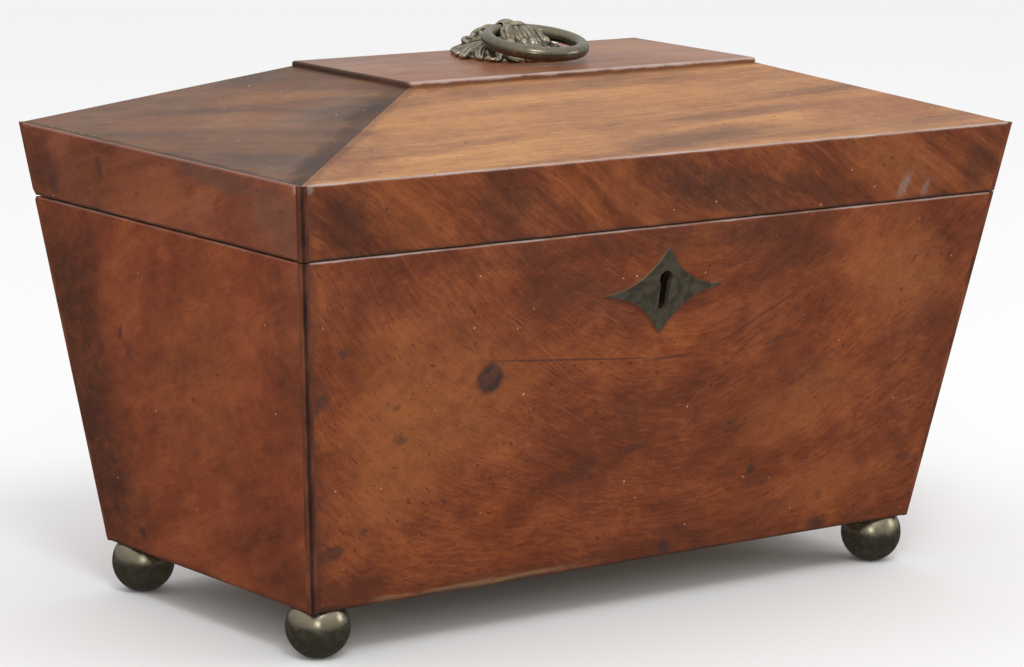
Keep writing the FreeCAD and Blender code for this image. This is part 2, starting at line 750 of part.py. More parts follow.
def lock():
    """The lock: case with back plate and bolt rails, top plate, drill pin and screws."""
    span = ("-lock_width / 2", "lock_width / 2")
    shell = leaning_box("lock_shell_blank", span, ("lock_front", "wall_square"), ("lock_top", "lock_bottom"))
    back = leaning_box("lock_back_plate", ("-flange_width / 2", "flange_width / 2"),
                       ("wall_square - lock_shell", "wall_square"), ("lock_top", "lock_bottom"))
    inside = ("-lock_width / 2 + lock_shell", "lock_width / 2 - lock_shell")
    room = ("lock_front + lock_shell", "wall_square - lock_shell")
    hollow = leaning_box("lock_hollow", inside, room, ("lock_top - lock_shell", "lock_bottom - lock_shell"))
    hole = leaning_rod("drill_pin_hole", "0", "wall_square - 2 * lock_shell", "key_drop",
                       "3 * lock_shell", "drill_pin")
    screws = [lock_screw(f"lock_plate_hole_{which}", which, SCREW_CLEARANCE) for which in LOCK_SCREWS]
    front_hole = keyhole("lock_keyhole", "lock_front - lock_shell", "3 * lock_shell")
    hollowed = cut("lock_hollowed", joined("lock_blank", [shell, back]), [hollow, hole, front_hole] + screws)
    under = ("bolt_down + bolt_bar + bolt_clearance", "bolt_down + bolt_bar + bolt_clearance + bolt_rail")
    reach = ("bolt_in - bolt_thickness / 2", "wall_square - lock_shell")
    rails = [
        leaning_box("bolt_rail_left", (inside[0], "-key_way / 2"), reach, under),
        leaning_box("bolt_rail_right", ("key_way / 2", inside[1]), reach, under),
    ]
    node("lock_case", joined("lock_case", [hollowed] + rails))
    pin = leaning_rod("lock_drill_pin", "0", "lock_front + lock_shell + drill_pin_tip", "key_drop",
                      "lock_depth - lock_shell - drill_pin_tip", "drill_pin")
    node("lock_drill_pin", pin)
    plate = box("selvedge_blank", ("-selvedge_length / 2", "selvedge_length / 2"),
                ("inner_front_y - selvedge_width", "inner_front_y"), ("joint_z - selvedge", "joint_z"))
    eye_half = "(finger_thickness / 2 + finger_clearance + staple_side + staple_slot)"
    slot_half = "(staple / 2 + staple_slot)"
    slots = [
        box(f"staple_slot_{index}",
            (f"{staple_middle(sign)} - {slot_half}", f"{staple_middle(sign)} + {slot_half}"),
            (f"staple_y - {eye_half}", f"staple_y + {eye_half}"),
            ("joint_z - 2 * selvedge", "joint_z + selvedge"))
        for index, sign in enumerate((-1, 1))
    ]
    node("lock_selvedge", cut("lock_selvedge", plate, slots))
    fixings = [lock_screw(f"lock_screw_{which}", which, "0") for which in LOCK_SCREWS]
    node("lock_screws", group("lock_screws", fixings))


def bolt():
    """The bolt: a bar with two fingers that slide to the right through the staples."""
    thick = ("bolt_in - bolt_thickness / 2", "bolt_in + bolt_thickness / 2")
    thin = ("bolt_in - finger_thickness / 2", "bolt_in + finger_thickness / 2")
    finger = ("finger_down - finger_height / 2", "finger_down + finger_height / 2")
    pieces = [leaning_box("bolt_bar", ("-lock_width / 2 + lock_shell + finger_clearance",
                                       "-lock_width / 2 + lock_shell + finger_clearance + bolt_length"),
                          thick, ("bolt_down", "bolt_down + bolt_bar"))]
    for index, sign in enumerate((-1, 1)):
        tip = f"({staple_middle(sign)} - staple / 2 - finger_clearance)"
        root = f"({tip} - bolt_travel - finger_clearance)"
        pieces.append(leaning_box(f"finger_{index}", (root, tip), thin, finger))
        pieces.append(leaning_box(f"finger_post_{index}", (f"{root} - finger_post", root), thin,
                                  (finger[0], "bolt_down + bolt_bar / 2")))
    node("lock_bolt", joined("lock_bolt", pieces))


def link_plate():
    """The plate in the lid's front rail, its two riveted staples for the bolt, and its screws."""
    sides = ("staple_y - link_width / 2", "staple_y + link_width / 2")
    plate = box("link_blank", ("-link_length / 2", "link_length / 2"), sides, ("lid_z", "lid_z + link_plate"))
    eye_y = "(finger_thickness / 2 + finger_clearance)"
    eye_z = "(finger_height / 2 + finger_clearance)"
    half_deep = f"({eye_y} + staple_side)"
    staples, mortises = [], []
    for index, sign in enumerate((-1, 1)):
        middle = staple_middle(sign)
        blank = box(f"staple_blank_{index}", (f"{middle} - staple / 2", f"{middle} + staple / 2"),
                    (f"staple_y - {half_deep}", f"staple_y + {half_deep}"),
                    (f"staple_eye_z - {eye_z} - staple_side", "lid_z + link_plate"))
        eye = box(f"staple_eye_{index}", (f"{middle} - staple", f"{middle} + staple"),
                  (f"staple_y - {eye_y}", f"staple_y + {eye_y}"),
                  (f"staple_eye_z - {eye_z}", f"staple_eye_z + {eye_z}"))
        staples.append(cut(f"staple_{index}", blank, [eye]))
        spare_x, spare_y = "(staple / 2 + running_clearance)", f"({half_deep} + running_clearance)"
        mortises.append(box(f"staple_mortise_{index}", (f"{middle} - {spare_x}", f"{middle} + {spare_x}"),
                            (f"staple_y - {spare_y}", f"staple_y + {spare_y}"),
                            ("lid_z - link_plate", "lid_z + 2 * link_plate")))
    node("link_staples", group("link_staples", staples))
    holes = [screw(f"link_hole_{index}", link_screw_point(sign), spare=SCREW_CLEARANCE)
             for index, sign in enumerate((-1, 1))]
    node("link_plate", cut("link_plate", plate, mortises + holes))
    screws = [screw(f"link_screw_{index}", link_screw_point(sign)) for index, sign in enumerate((-1, 1))]
    node("link_plate_screws", group("link_plate_screws", screws))


def link_screw_point(sign):
    """The head of a link plate screw."""
    return f"{sign} * link_screws / 2", "staple_y", "lid_z"


def escutcheon():
    """The lozenge plate with four hollow sides round the keyhole."""
    blank = leaning_box("lozenge_blank", ("-plate_width / 2", "plate_width / 2"), ("-plate_thickness", "0"),
                        ("plate_drop - plate_height / 2", "plate_drop + plate_height / 2"))
    chord = "sqrt(plate_width * plate_width + plate_height * plate_height)"
    reach = f"sqrt(plate_hollow * plate_hollow - {chord} * {chord} / 16) / {chord}"
    across = f"(plate_width / 4 + plate_height * {reach})"
    down = f"(plate_height / 4 + plate_width * {reach})"
    hollows = [
        leaning_rod(f"plate_hollow_{corner}", f"{side_x} * {across}", "-2 * plate_thickness",
                    f"plate_drop + {side_y} * {down}", "3 * plate_thickness", "2 * plate_hollow")
        for corner, (side_x, side_y) in CORNERS.items()
    ]
    hole = keyhole("plate_keyhole", "-2 * plate_thickness", "3 * plate_thickness")
    node("escutcheon", cut("escutcheon", blank, hollows + [hole]))


# Hinges

KNUCKLES = 5
LOWER_KNUCKLES = (0, 2, 4)
UPPER_KNUCKLES = (1, 3)


def hinge_leaf(label, side, own, low, high, screw_tools):
    """A hinge leaf: plate, its own knuckles, room for the other leaf's knuckles, and holes."""
    middle = HINGES[side]
    start = f"{middle} - hinge_length / 2"
    pitch = f"hinge_length / {KNUCKLES}"
    plate = box(f"{label}_plate", (start, f"{middle} + hinge_length / 2"),
                ("hinge_y - leaf_width", "hinge_y"), (low, high))
    room, knuckles = [], []
    for index in range(KNUCKLES):
        if index in own:
            point = (f"{start} + {index} * {pitch} + knuckle_gap", "hinge_y", "hinge_z")
            length = f"{pitch} - 2 * knuckle_gap"
            knuckles.append(cross_rod(f"{label}_knuckle_{index}", point, length, "knuckle"))
        else:
            point = (f"{start} + {index} * {pitch} - knuckle_gap", "hinge_y", "hinge_z")
            length = f"{pitch} + 2 * knuckle_gap"
            room.append(cross_rod(f"{label}_room_{index}", point, length, "2 * swing_radius"))
    bore = cross_rod(f"{label}_bore", (f"{start} - knuckle_gap", "hinge_y", "hinge_z"),
                     "hinge_length + 2 * knuckle_gap", "hinge_pin + 2 * running_clearance")
    notched = cut(f"{label}_notched", plate, room)
    node(label, cut(label, joined(f"{label}_solid", [notched] + knuckles), [bore] + screw_tools))


def hinges():
    """Two butt hinges: lower leaves, upper leaves, pins and screws."""
    case_points = dict(hinge_screw_points(CASE_LEAF_TOP))
    lid_points = dict(hinge_screw_points(LID_LEAF_LOW))
    for side, middle in HINGES.items():
        mine = [f"{side}_{which}" for which in HINGE_SCREWS]
        case_holes = [screw(f"case_leaf_hole_{which}", case_points[which], "x", "180", spare=SCREW_CLEARANCE)
                      for which in mine]
        lid_holes = [screw(f"lid_leaf_hole_{which}", lid_points[which], spare=SCREW_CLEARANCE)
                     for which in mine]
        hinge_leaf(f"hinge_{side}_lower_leaf", side, LOWER_KNUCKLES,
                   f"{CASE_LEAF_TOP} - leaf", CASE_LEAF_TOP, case_holes)
        hinge_leaf(f"hinge_{side}_upper_leaf", side, UPPER_KNUCKLES,
                   LID_LEAF_LOW, f"{LID_LEAF_LOW} + leaf", lid_holes)
        pin = cross_rod(f"hinge_{side}_pin", (f"{middle} - hinge_length / 2", "hinge_y", "hinge_z"),
                        "hinge_length", "hinge_pin")
        node(f"hinge_{side}_pin", pin)
    node("hinge_lower_screws", group("hinge_lower_screws", [
        screw(f"case_hinge_screw_{which}", point, "x", "180") for which, point in case_points.items()]))
    node("hinge_upper_screws", group("hinge_upper_screws", [
        screw(f"lid_hinge_screw_{which}", point) for which, point in lid_points.items()]))


# Inside of the case


def front_wall(height):
    """Inner face of the front at a height."""
    return f"-{inner_depth(height)}"


def back_wall(height):
    """Inner face of the back at a height."""
    return inner_depth(height)


def mirrored_sides(sign, near_middle, near_end):
    """The left and right sides of a piece that stands on one side of the well."""
    if sign < 0:
        return (lambda z: f"-({near_end(z)})"), (lambda z: f"-({near_middle(z)})")
    return near_middle, near_end


def compartments():
    """Partitions, ledges, tea lids with knobs, bowl board and bowl."""
    lid_low = "shelf_z - tea_lid"
    ledge_low = f"{lid_low} - ledge_height"
    board_low = "bowl_board_z - bowl_board"
    for side, sign in (("left", -1), ("right", 1)):
        sides = mirrored_sides(sign, level("well"), level("well_back"))
        partition = frustum(f"partition_{side}", "floor_z", "shelf_z", *sides, front_wall, back_wall)
        node(f"partition_{side}", partition)
        sides = mirrored_sides(sign, level("well_back"), level("well_back + ledge"))
        inner_ledge = frustum(f"inner_ledge_{side}", ledge_low, lid_low, *sides, front_wall, back_wall)
        sides = mirrored_sides(sign, lambda z: f"{inner_width(z)} - ledge", inner_width)
        outer_ledge = frustum(f"outer_ledge_{side}", ledge_low, lid_low, *sides, front_wall, back_wall)
        node(f"tea_ledges_{side}", group(f"tea_ledges_{side}", [inner_ledge, outer_ledge]))
        tea_lid(side, sign, lid_low)
        sides = mirrored_sides(sign, level("well - ledge"), level("well"))
        bowl_ledge = frustum(f"bowl_ledge_{side}", f"{board_low} - ledge_height", board_low, *sides,
                             front_wall, back_wall)
        node(f"bowl_ledge_{side}", bowl_ledge)
    board = frustum("bowl_board_blank", board_low, "bowl_board_z", level("-well"), level("well"),
                    front_wall, back_wall)
    hole = rod("bowl_board_hole", ("0", "0", f"{board_low} - bowl_board"), "3 * bowl_board", "2 * bowl_hole")
    node("bowl_board", cut("bowl_board", board, [hole]))
    bowl()


def tea_lid(side, sign, lid_low):
    """A lift-out tea lid and its turned knob."""
    sides = mirrored_sides(sign, level("well_back + tea_lid_clearance"),
                           lambda z: f"{inner_width(z)} - tea_lid_clearance")
    blank = frustum(f"tea_lid_blank_{side}", lid_low, "shelf_z", *sides,
                    lambda z: f"{front_wall(z)} + tea_lid_clearance",
                    lambda z: f"{back_wall(z)} - tea_lid_clearance")
    middle = f"{sign} * (well_back + {inner_width('shelf_z')}) / 2"
    hole = rod(f"knob_hole_{side}", (middle, "0", f"{lid_low} - tea_lid"), "3 * tea_lid",
               "knob_shank + 2 * running_clearance")
    node(f"tea_lid_{side}", cut(f"tea_lid_{side}", blank, [hole]))
    shank = rod(f"knob_shank_{side}", ("0", "0", "-tea_lid"), "tea_lid", "knob_shank")
    foot = rod(f"knob_foot_{side}", ("0", "0", "0"), "knob_foot_height", "knob_foot")
    stem = doc.addObject("Part::Cone", f"knob_stem_{side}")
    bind(stem, Radius1="knob_foot / 3", Radius2="knob_shank / 2", Height="knob_stem")
    place(stem, ("0", "0", "knob_foot_height"))
    ball = doc.addObject("Part::Sphere", f"knob_ball_{side}")
    bind(ball, Radius="knob_ball / 2")
    place(ball, ("0", "0", "knob_foot_height + knob_stem + knob_ball / 2 - knob_sink"))
    knob = joined(f"tea_lid_knob_{side}", [shank, foot, stem, ball])
    node(f"tea_lid_knob_{side}", place(knob, (middle, "0", "shelf_z")))


def bowl():
    """The tapering glass bowl that hangs in its board."""
    body = doc.addObject("PartDesign::Body", "mixing_bowl")
    inside_foot = "bowl_base / 2 - bowl_wall + bowl_slope * bowl_floor"
    profile = outline(body, "profile", "XZ_Plane", [[
        ("0", "0"), ("bowl_base / 2", "0"), ("bowl_rim / 2", "bowl_height"),
        ("bowl_rim / 2 - bowl_wall", "bowl_height"), (inside_foot, "bowl_floor"), ("0", "bowl_floor"),
    ]])
    revolution = body.newObject("PartDesign::Revolution", "revolution")
    revolution.Profile = profile
    revolution.ReferenceAxis = (profile, ["V_Axis"])
    rim = value("bowl_height")
    soften(body, revolution, "bowl_wall / 3", lambda point: near(point.z, rim))
    node("mixing_bowl", place(body, ("0", "0", "bowl_z")))


# Lid


def lid_boards():
    """Rails, corner strips, slopes, top board and lining of the lid."""
    bevel = stop_bevel("lid_stop_bevel", lid=True)
    strips = [corner_strip(f"lid_strip_seat_{corner}", *signs, "lid_z", "rim_z", rounded=False)
              for corner, signs in CORNERS.items()]
    extra = {"front": [], "back": [], "left": [], "right": []}
    extra["front"].append(box("link_recess", ("-link_length / 2", "link_length / 2"),
                              ("staple_y - link_width / 2", "staple_y + link_width / 2"),
                              ("joint_z", "lid_z + link_plate")))
    extra["front"] += [screw(f"rail_link_hole_{index}", link_screw_point(sign), spare=SCREW_CLEARANCE)
                       for index, sign in enumerate((-1, 1))]
    extra["back"] += hinge_cuts("lid", "lid_z - leaf", "lid_z - leaf_proud + leaf")
    extra["back"] += [screw(f"rail_hinge_hole_{which}", point, spare=SCREW_CLEARANCE)
                      for which, point in hinge_screw_points(LID_LEAF_LOW)]
    for side, label in RAIL_NAMES.items():
        stock = canted_board(f"{label}_stock", side, "lid_z", "rim_z")
        node(label, cut(label, stock, [bevel] + strips + extra[side]))
        node(f"lid_{side}_slope", slope_board(f"lid_{side}_slope", side))
    rounded = [corner_strip(f"lid_strip_{corner}", *signs, "lid_z", "rim_z", rounded=True)
               for corner, signs in CORNERS.items()]
    trimmed = [cut(f"lid_stringing_{index}", strip, [bevel]) if index > 1 else strip
               for index, strip in enumerate(rounded)]
    node("lid_corner_stringing", group("lid_corner_stringing", trimmed))
    top_board()
    lining_low = "lid_z + lining_recess"
    node("lid_lining_panel", frustum("lid_lining_panel", lining_low, f"{lining_low} + lining_board",
                                     lambda z: f"-{inner_width(z)}", inner_width, front_wall, back_wall))


def top_board():
    """The flat top: a thin edge that shows and a plug between the slopes, drilled for the mask's stud."""
    body = doc.addObject("PartDesign::Body", "top_edge")
    half_x, half_y = "top_width / 2", "top_depth / 2"
    plan = outline(body, "plan", "XY_Plane", [[(f"-{half_x}", f"-{half_y}"), (half_x, f"-{half_y}"),
                                               (half_x, half_y), (f"-{half_x}", half_y)]])
    edge = pad(body, plan, "top_board")
    upper = value("top_board / 2")
    soften(body, edge, "arris", lambda point: near(point.z, upper))
    place(body, ("0", "0", "slope_top_z + top_board / 2"))
    plug_x = f"({half_x} - slope_level_x - plug_clearance)"
    plug_y = f"({half_y} - slope_level_y - plug_clearance)"
    plug = box("top_plug", (f"-{plug_x}", plug_x), (f"-{plug_y}", plug_y),
               ("slope_top_z - top_plug", "slope_top_z"))
    hole = rod("mask_stud_hole", ("0", "mask_stud_back", "slope_top_z - 2 * top_plug"), "4 * top_plug",
               "mask_stud + 2 * running_clearance")
    node("lid_top_board", cut("lid_top_board", joined("top_board_blank", [body, plug]), [hole]))


# Lion mask and ring


def boss(name, across, back, top, width, length, depth):
    """A rounded boss of the lion: its middle, the height of its top, its width, length and half depth."""
    item = doc.addObject("Part::Ellipsoid", name)
    bind(item, Radius1=depth, Radius2=f"({width}) / 2", Radius3=f"({length}) / 2")
    return place(item, (across, back, f"top_z + {top} - ({depth})"))


def as_cast(item):
    """Keeps the faces of rounded forms as they meet, with none of them merged."""
    item.Refine = False
    return item


def mane(name, angles, root, tip, root_rise, tip_rise):
    """Tapered locks that fall outwards from the face, each at its angle from the right."""
    locks = []
    fall = FreeCAD.Vector(value(tip) - value(root), 0, value(tip_rise) - value(root_rise))
    for index, angle in enumerate(angles):
        spin = FreeCAD.Rotation(AXES["z"], angle)
        outward = spin.multVec(AXES["x"])
        lock = doc.addObject("Part::Cone", f"{name}_{index}")
        bind(lock, Radius1="lock_of_mane / 2", Radius2="lock_tip / 2")
        bind(lock, Height=f"sqrt(({tip} - ({root}))^2 + ({tip_rise} - ({root_rise}))^2)")
        point = (f"{outward.x} * ({root})", f"mask_back + {outward.y} * ({root})", f"top_z + {root_rise}")
        place(lock, point)
        lock.Placement.Rotation = FreeCAD.Rotation(AXES["z"], spin.multVec(fall))
        locks.append(lock)
    return locks


OUTER_LOCKS = range(10, 370, 20)
INNER_LOCKS = range(36, 146, 18)
CREST_CURLS = 3
SIDE_CURLS = 2


def mane_and_dome():
    """The ground of the mask: rim, dome and two tiers of mane, the upper one behind the face only."""
    dome_radius = "((mask_dome / 2)^2 + mask_rise^2) / (2 * mask_rise)"
    dome = doc.addObject("Part::Sphere", "mask_dome")
    bind(dome, Radius=dome_radius, Angle1=f"asin(1 - mask_rise / ({dome_radius}))")
    place(dome, ("0", "mask_back", f"top_z + mask_rise - {dome_radius}"))
    plate = rod("mask_plate", ("0", "mask_back", "top_z"), "mask_plate", "mask - lock_of_mane")
    outer_root, outer_tip = "mask / 2 - outer_lock", "mask / 2 - lock_tip / 2"
    inner_root, inner_tip = f"{outer_root} - inner_lock / 2", f"{outer_root} + inner_lock / 2"
    outer = mane("outer_lock", OUTER_LOCKS, outer_root, outer_tip, "outer_rise", "lock_tip / 2")
    inner = mane("inner_lock", INNER_LOCKS, inner_root, inner_tip, "inner_rise", "inner_fall")
    return as_cast(joined("mask_ground", [dome, plate] + outer + inner))


def face_and_beard():
    """The lion's forehead, brows, ears, nose, whisker pads, lower jaw and curled beard."""
    forms = [boss(name, "0", f"{name}_back", f"{name}_top", f"{name}_width", f"{name}_length",
                  f"({name}_top - mask_plate / 2) / 2") for name in ("forehead", "nose", "jaw")]
    for index in range(CREST_CURLS):
        forms.append(boss(f"crest_curl_{index}", "0", f"curl_back - {index} * curl_pitch",
                          f"(curl_top - {index} * curl_fall)", "curl", "curl", "curl / 2"))
    for side, sign in (("left", -1), ("right", 1)):
        forms += [
            boss(f"whisker_pad_{side}", f"{sign} * pad_spread / 2", "pad_back", "pad_top",
                 "pad", "pad", "pad / 2"),
            boss(f"brow_{side}", f"{sign} * brow_spread / 2", "brow_back", "brow_top",
                 "brow_length", "brow_width", "brow_width / 2"),
            boss(f"ear_{side}", f"{sign} * ear_spread / 2", "ear_back", "ear_top",
                 "ear", "ear", "ear / 2"),
        ]
        for index in range(SIDE_CURLS):
            forms.append(boss(f"side_curl_{side}_{index}", f"{sign} * curl_spread / 2",
                              f"curl_back - ({index} + 1.5) * curl_pitch",
                              f"(curl_top - curl_drop - {index} * curl_fall)", "curl", "curl", "curl / 2"))
    return as_cast(joined("mask_face", forms))


def lion_mask():
    """The cast mask with an open mouth for the ring, and its stud and nut."""
    stud = rod("mask_stud", ("0", "mask_stud_back", "slope_top_z - top_plug - nut_height - stud_tip"),
               "top_board + top_plug + nut_height + stud_tip + mask_plate", "mask_stud")
    casting = as_cast(joined("mask_casting", [mane_and_dome(), face_and_beard()]))
    solid = as_cast(joined("mask_solid", [casting, stud]))
    mouth_half = "((pad_spread + pad) / 2 + mouth_clearance)"
    throat = cross_rod("throat", (f"-{mouth_half}", "ring_axis_back", "ring_axis_z"),
                       f"2 * {mouth_half}", "ring_radius")
    lips = doc.addObject("Part::Torus", "lips")
    bind(lips, Radius1="ring_radius", Radius2="ring_radius - ring_tube / 2 - mouth_clearance")
    place(lips, ("0", "ring_axis_back", "ring_axis_z"), "y", "90")
    mouth = cut("mouth", throat, [lips])
    node("handle_mask", as_cast(cut("handle_mask", solid, [mouth])))
    nut_half = "nut_width / 2"
    nut = box("nut_blank", (f"-{nut_half}", nut_half),
              (f"mask_stud_back - {nut_half}", f"mask_stud_back + {nut_half}"),
              ("slope_top_z - top_plug - nut_height", "slope_top_z - top_plug"))
    hole = rod("nut_hole", ("0", "mask_stud_back", "slope_top_z - top_plug - 2 * nut_height"),
               "3 * nut_height", "mask_stud + 2 * running_clearance")
    node("handle_nut", cut("handle_nut", nut, [hole]))


def handle_ring():
    """The loose ring: its axis in the lion's mouth, its free end lying towards the front."""
    ring = doc.addObject("Part::Torus", "handle_ring")
    bind(ring, Radius1="ring_radius", Radius2="ring_tube / 2")
    middle = ("0", "ring_axis_back - ring_radius * cos(ring_tilt)",
              "ring_axis_z - ring_radius * sin(ring_tilt)")
    node("handle_ring", place(ring, middle, "x", "ring_tilt"))


def export():
    """Checks every object, then writes each sub-part to its own file."""
    doc.recompute()
    for item in doc.Objects:
        faults = {"Invalid", "Error"} & set(item.State)
        if faults:
            raise RuntimeError(f"{item.Label} is {faults}")
    os.makedirs("parts", exist_ok=True)
    for label, item in nodes.items():
        shape = item.Shape
        if shape.isNull() or not shape.isValid() or not shape.Solids:
            raise RuntimeError(f"{label} has no sound solid")
        shape.exportStep(f"parts/{label}.step")


case_boards()
feet()
escutcheon()
lock()
bolt()
hinges()
compartments()
lid_boards()
link_plate()
lion_mask()
handle_ring()
export()
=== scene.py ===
"""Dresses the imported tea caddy: worn mahogany, dark stringing, patinated brass and a cast lion mask."""

import logging
import math
from collections.abc import Iterable, Sequence
from dataclasses import dataclass
from enum import Enum

import bpy
import numpy as np
from mathutils import Matrix, Vector


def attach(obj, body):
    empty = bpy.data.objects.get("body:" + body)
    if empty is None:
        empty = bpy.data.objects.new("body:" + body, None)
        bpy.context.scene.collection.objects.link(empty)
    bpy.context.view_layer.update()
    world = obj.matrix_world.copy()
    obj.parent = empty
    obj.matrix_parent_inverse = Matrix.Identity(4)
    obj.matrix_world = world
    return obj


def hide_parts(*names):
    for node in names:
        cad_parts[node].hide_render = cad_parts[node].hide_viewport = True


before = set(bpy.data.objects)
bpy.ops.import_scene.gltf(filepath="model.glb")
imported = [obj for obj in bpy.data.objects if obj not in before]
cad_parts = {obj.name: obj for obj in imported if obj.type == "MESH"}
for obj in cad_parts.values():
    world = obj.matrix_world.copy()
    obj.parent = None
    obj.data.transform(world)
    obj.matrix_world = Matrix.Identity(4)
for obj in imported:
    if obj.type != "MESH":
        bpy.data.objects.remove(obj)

MM = 0.001

Colour = tuple[float, float, float]
Point = tuple[float, float, float]
Socket = bpy.types.NodeSocket
Feed = Socket | float | Sequence[float]
Inputs = dict[str | int, Feed]
Outputs = bpy.types.NodeOutputs
Piece = bpy.types.Object
Tones = tuple[Colour, Colour, Colour]

FLOAT = "NodeSocketFloat"
VECTOR = "NodeSocketVector"

log = logging.getLogger("tea_caddy")


# Shader nodes

class NodeBench:
    """Lays and links the nodes of one shader tree."""

    def __init__(self, tree: bpy.types.NodeTree) -> None:
        """Takes the tree to work on."""
        self.tree = tree

    def feed(self, socket: Socket, value: Feed) -> None:
        """Links a socket to another one, or sets its plain value.

        Args:
            socket: The input that is fed.
            value: Another socket, a number, or a colour or vector.
        """
        if isinstance(value, Socket):
            self.tree.links.new(value, socket)
        elif socket.type == "RGBA" and len(value) == 3:
            socket.default_value = (*value, 1.0)
        else:
            socket.default_value = value

    def add(self, kind: str, inputs: Inputs | None = None, **settings: object) -> bpy.types.Node:
        """Adds one node.

        Args:
            kind: The node's type without its ShaderNode prefix.
            inputs: Values or sockets by input name or number.
            **settings: Properties of the node.

        Returns:
            The new node.
        """
        node = self.tree.nodes.new("ShaderNode" + kind)
        for name, setting in settings.items():
            setattr(node, name, setting)
        for name, value in (inputs or {}).items():
            self.feed(node.inputs[name], value)
        return node

    def math(self, operation: str, *values: Feed) -> Socket:
        """Returns the result of one Math node."""
        return self.add("Math", dict(enumerate(values)), operation=operation).outputs[0]

    def vector(self, operation: str, *values: Feed) -> Socket:
        """Returns the vector that one Vector Math node gives."""
        return self.add("VectorMath", dict(enumerate(values)), operation=operation).outputs["Vector"]

    def measure(self, operation: str, *values: Feed) -> Socket:
        """Returns the number that one Vector Math node gives, such as a length or a dot product."""
        return self.add("VectorMath", dict(enumerate(values)), operation=operation).outputs["Value"]

    def split(self, vector: Feed) -> tuple[Socket, Socket, Socket]:
        """Returns the three parts of a vector."""
        return tuple(self.add("SeparateXYZ", {0: vector}).outputs)

    def combine(self, *parts: Feed) -> Socket:
        """Returns the vector of three parts."""
        return self.add("CombineXYZ", dict(enumerate(parts))).outputs[0]

    def place(self, turn: Point = (0.0, 0.0, 0.0)) -> Socket:
        """Returns the place on the piece in millimetres, turned."""
        inputs = {"Vector": self.add("TexCoord").outputs["Object"], "Rotation": turn, "Scale": 3 * (1 / MM,)}
        return self.add("Mapping", inputs).outputs[0]

    def pattern(self, place: Feed, stretch: Point | float, detail: float, rough: float) -> Outputs:
        """Adds a noise pattern.

        Args:
            place: Where on the piece, in millimetres.
            stretch: Pattern per millimetre, along each axis or along all of them.
            detail: Number of finer layers.
            rough: Strength of the finer layers.

        Returns:
            The pattern's value and colour.
        """
        stretch = stretch if isinstance(stretch, tuple) else 3 * (stretch,)
        scaled = self.vector("MULTIPLY", place, stretch)
        inputs = {"Vector": scaled, "Scale": 1.0, "Detail": detail, "Roughness": rough}
        return self.add("TexNoise", inputs).outputs

    def noise(self, place: Feed, stretch: Point | float, detail: float = 3.0, rough: float = 0.55) -> Socket:
        """Returns the value of a noise pattern."""
        return self.pattern(place, stretch, detail, rough)[0]

    def drift(self, place: Feed, stretch: Point | float, detail: float) -> Socket:
        """Returns the colour of a noise pattern, which moves places about."""
        return self.pattern(place, stretch, detail, 0.55)["Color"]

    def spread(self, value: Feed, low: Feed, high: float, start: float, end: float,
               kind: str = "LINEAR") -> Socket:
        """Moves a value from one range to another and holds it at the ends.

        Args:
            value: The value.
            low: Start of its range.
            high: End of its range.
            start: Result at the start.
            end: Result at the end.
            kind: Blender's name of the curve between them.

        Returns:
            The result.
        """
        inputs = {"Value": value, "From Min": low, "From Max": high, "To Min": start, "To Max": end}
        return self.add("MapRange", inputs, interpolation_type=kind).outputs[0]

    def step(self, value: Feed, low: Feed, high: float, start: float = 0.0, end: float = 1.0) -> Socket:
        """Returns a smooth step of value from start at low to end at high."""
        return self.spread(value, low, high, start, end, "SMOOTHSTEP")

    def mix(self, share: Feed, first: Feed, second: Feed) -> Socket:
        """Returns a blend of two colours, where share is how much of the second one shows."""
        return self.add("Mix", {0: share, 6: first, 7: second}, data_type="RGBA").outputs[2]

    def ramp(self, value: Feed, stops: Sequence[tuple[float, Colour]]) -> Socket:
        """Returns a colour that runs through the given stops.

        Args:
            value: Where along the stops, from 0 to 1.
            stops: Each colour with its place.

        Returns:
            The colour.
        """
        node = self.add("ValToRGB", {"Fac": value})
        elements = node.color_ramp.elements
        while len(elements) < len(stops):
            elements.new(0.5)
        for element, (place, colour) in zip(elements, stops):
            element.position = place
            element.color = (*colour, 1.0)
        return node.outputs["Color"]

    def bump(self, height: Feed, depth: float, strength: float) -> Socket:
        """Returns the normal of a surface raised by a pattern, with depth in millimetres."""
        return self.add("Bump", {"Height": height, "Distance": depth * MM, "Strength": strength}).outputs[0]


